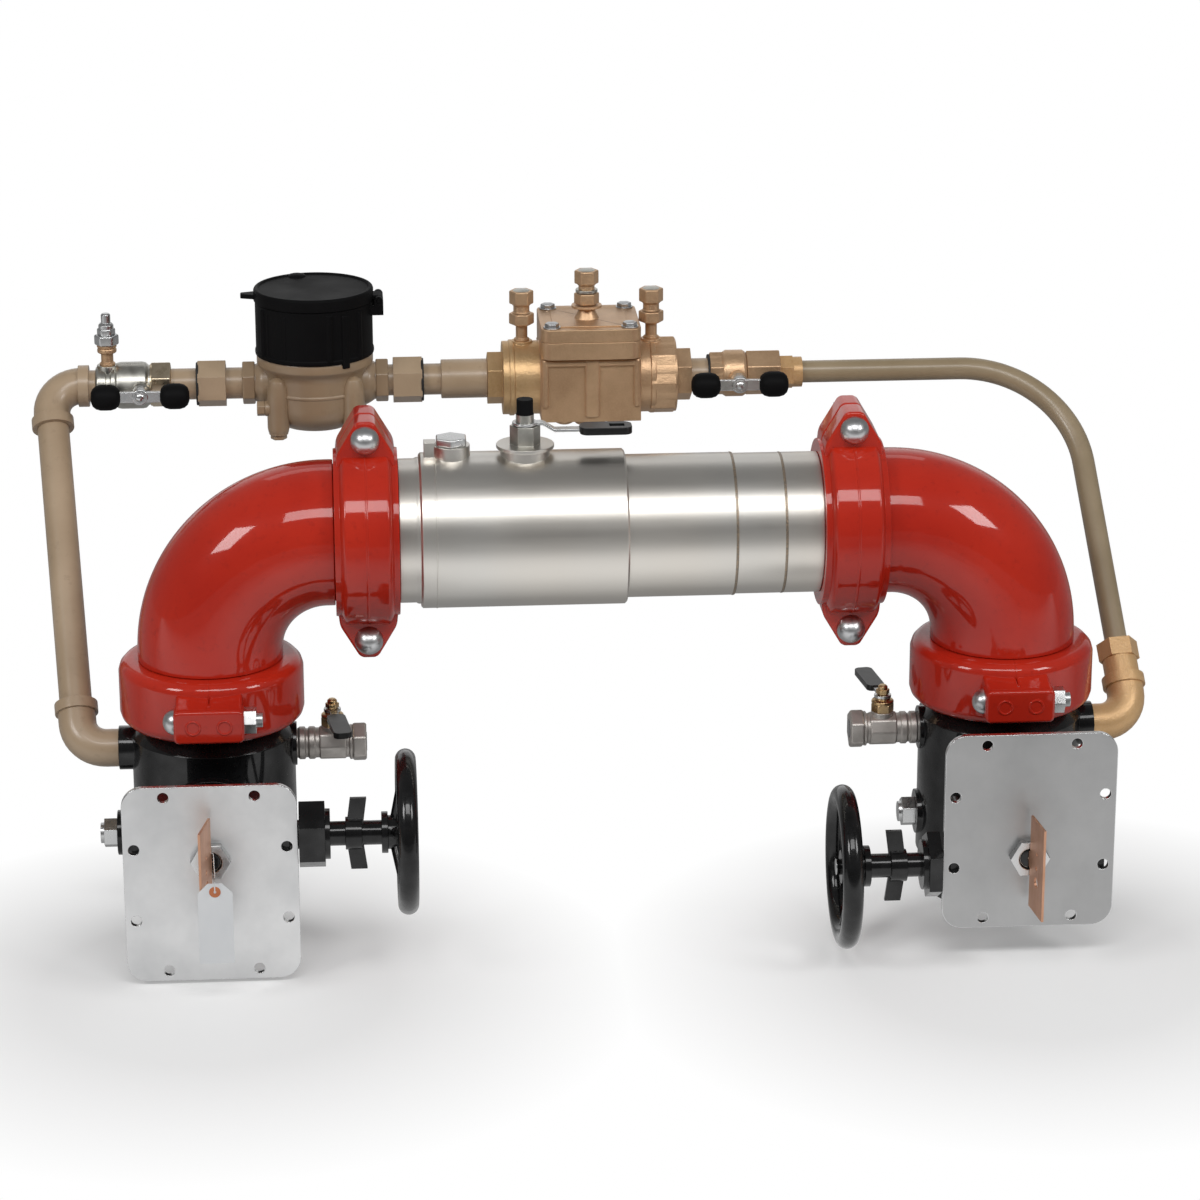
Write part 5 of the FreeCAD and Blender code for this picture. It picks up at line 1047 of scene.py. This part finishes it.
def lamp(name, place, width, height, power):
    data = bpy.data.lights.new(name, "AREA")
    data.energy = power
    data.shape = "RECTANGLE"
    data.size = width
    data.size_y = height
    made = bpy.data.objects.new(name, data)
    bpy.context.scene.collection.objects.link(made)
    aim = (Vector(LAMP_AIM) - Vector(place)).to_track_quat("-Z", "Y").to_matrix().to_4x4()
    made.matrix_world = Matrix.Translation(Vector(place)) @ aim


def studio():
    """White for the camera and, behind the object, in reflections too; a dim room elsewhere."""
    world = bpy.data.worlds.new("studio")
    bpy.context.scene.world = world
    world.use_nodes = True
    room = Shader(world.node_tree)
    depth = room.along("Y", room.node("ShaderNodeTexCoord", output="Generated"))
    dim = room.tree.nodes["Background"]
    room.feed(dim.inputs["Color"], WHITE)
    room.feed(dim.inputs["Strength"], room.spread(depth, -0.6, 0.9, 0.14, 0.26))
    white = room.node("ShaderNodeBackground", None, {"Color": WHITE, "Strength": 1.0})
    clear = room.ray("Camera") + room.ray("Transmission")
    share = clear + room.ray("Glossy") * room.spread(depth, 0.75, 1.0)
    whole = room.node("ShaderNodeMixShader", None, {0: share, 1: Channel(room, dim.outputs[0]), 2: white})
    room.feed(room.tree.nodes["World Output"].inputs["Surface"], whole)
    for name, place, width, height, power in LAMPS:
        lamp(name, place, width, height, power)


def floor():
    """Pale for the object, white in the camera away from it, and shaded under it in reflections."""
    shape = bmesh.new()
    bmesh.ops.create_circle(shape, cap_ends=True, segments=96, radius=9.0)
    mesh = bpy.data.meshes.new("floor")
    shape.to_mesh(mesh)
    shape.free()
    made = bpy.data.objects.new("floor", mesh)
    bpy.context.scene.collection.objects.link(made)
    finish = Finish("floor")
    cloud = finish.noise(1.3, 2.0)
    finish.set(base_color=finish.mix(cloud, (0.62, 0.62, 0.62), (0.64, 0.64, 0.64)), roughness=0.9)
    gaps = [
        finish.node("ShaderNodeVectorMath", {"operation": "LENGTH"}, {
            0: finish.place((1, 1, 0), (-run * MM, WHITE_BEFORE, 0)),
        }, "Value") for run in (INLET_RUN, OUTLET_RUN)
    ]
    away = finish.node("ShaderNodeMath", {"operation": "MINIMUM"}, {0: gaps[0], 1: gaps[1]})
    depth = finish.along("Y", finish.place())
    seen = finish.ray("Camera") + finish.ray("Transmission")
    mirrored = finish.ray("Glossy")
    # In reflections the floor is brightest in front, and darker far off, below and behind
    paper = finish.spread(depth, -1.3, -0.5, 0.3, 1.0) * finish.spread(depth, -0.24, 0.05, 1.0, 0.3)
    lift = finish.node("ShaderNodeEmission", None, {"Color": WHITE, "Strength": seen * FLOOR_LIFT})
    white = finish.node("ShaderNodeEmission", None, {"Color": WHITE, "Strength": seen + mirrored * paper})
    near = finish.node("ShaderNodeAddShader", None, {0: Channel(finish, finish.surface.outputs[0]), 1: lift})
    share = mirrored + seen * finish.spread(away, WHITE_FROM, WHITE_FULL)
    whole = finish.node("ShaderNodeMixShader", None, {0: share, 1: near, 2: white})
    finish.feed(finish.tree.nodes["Material Output"].inputs["Surface"], whole)
    mesh.materials.append(finish.material)


def dress(node_name):
    """A CAD node keeps its shape and takes its procedural finish."""
    node = frame["nodes"][node_name]
    node.data.materials.clear()
    node.data.materials.append(FINISHES[slot_of[node_name]])
    node.data.shade_smooth()


for name in frame["nodes"]:
    dress(name)

camera()
couplings()
housing()
elbows()
operators()
paper_tag()
side_test_valves()
bypass_line()
bypass_valves()
meter()
bypass_check()
test_cocks()
studio()
floor()
bpy.context.scene.view_settings.view_transform = "Standard"
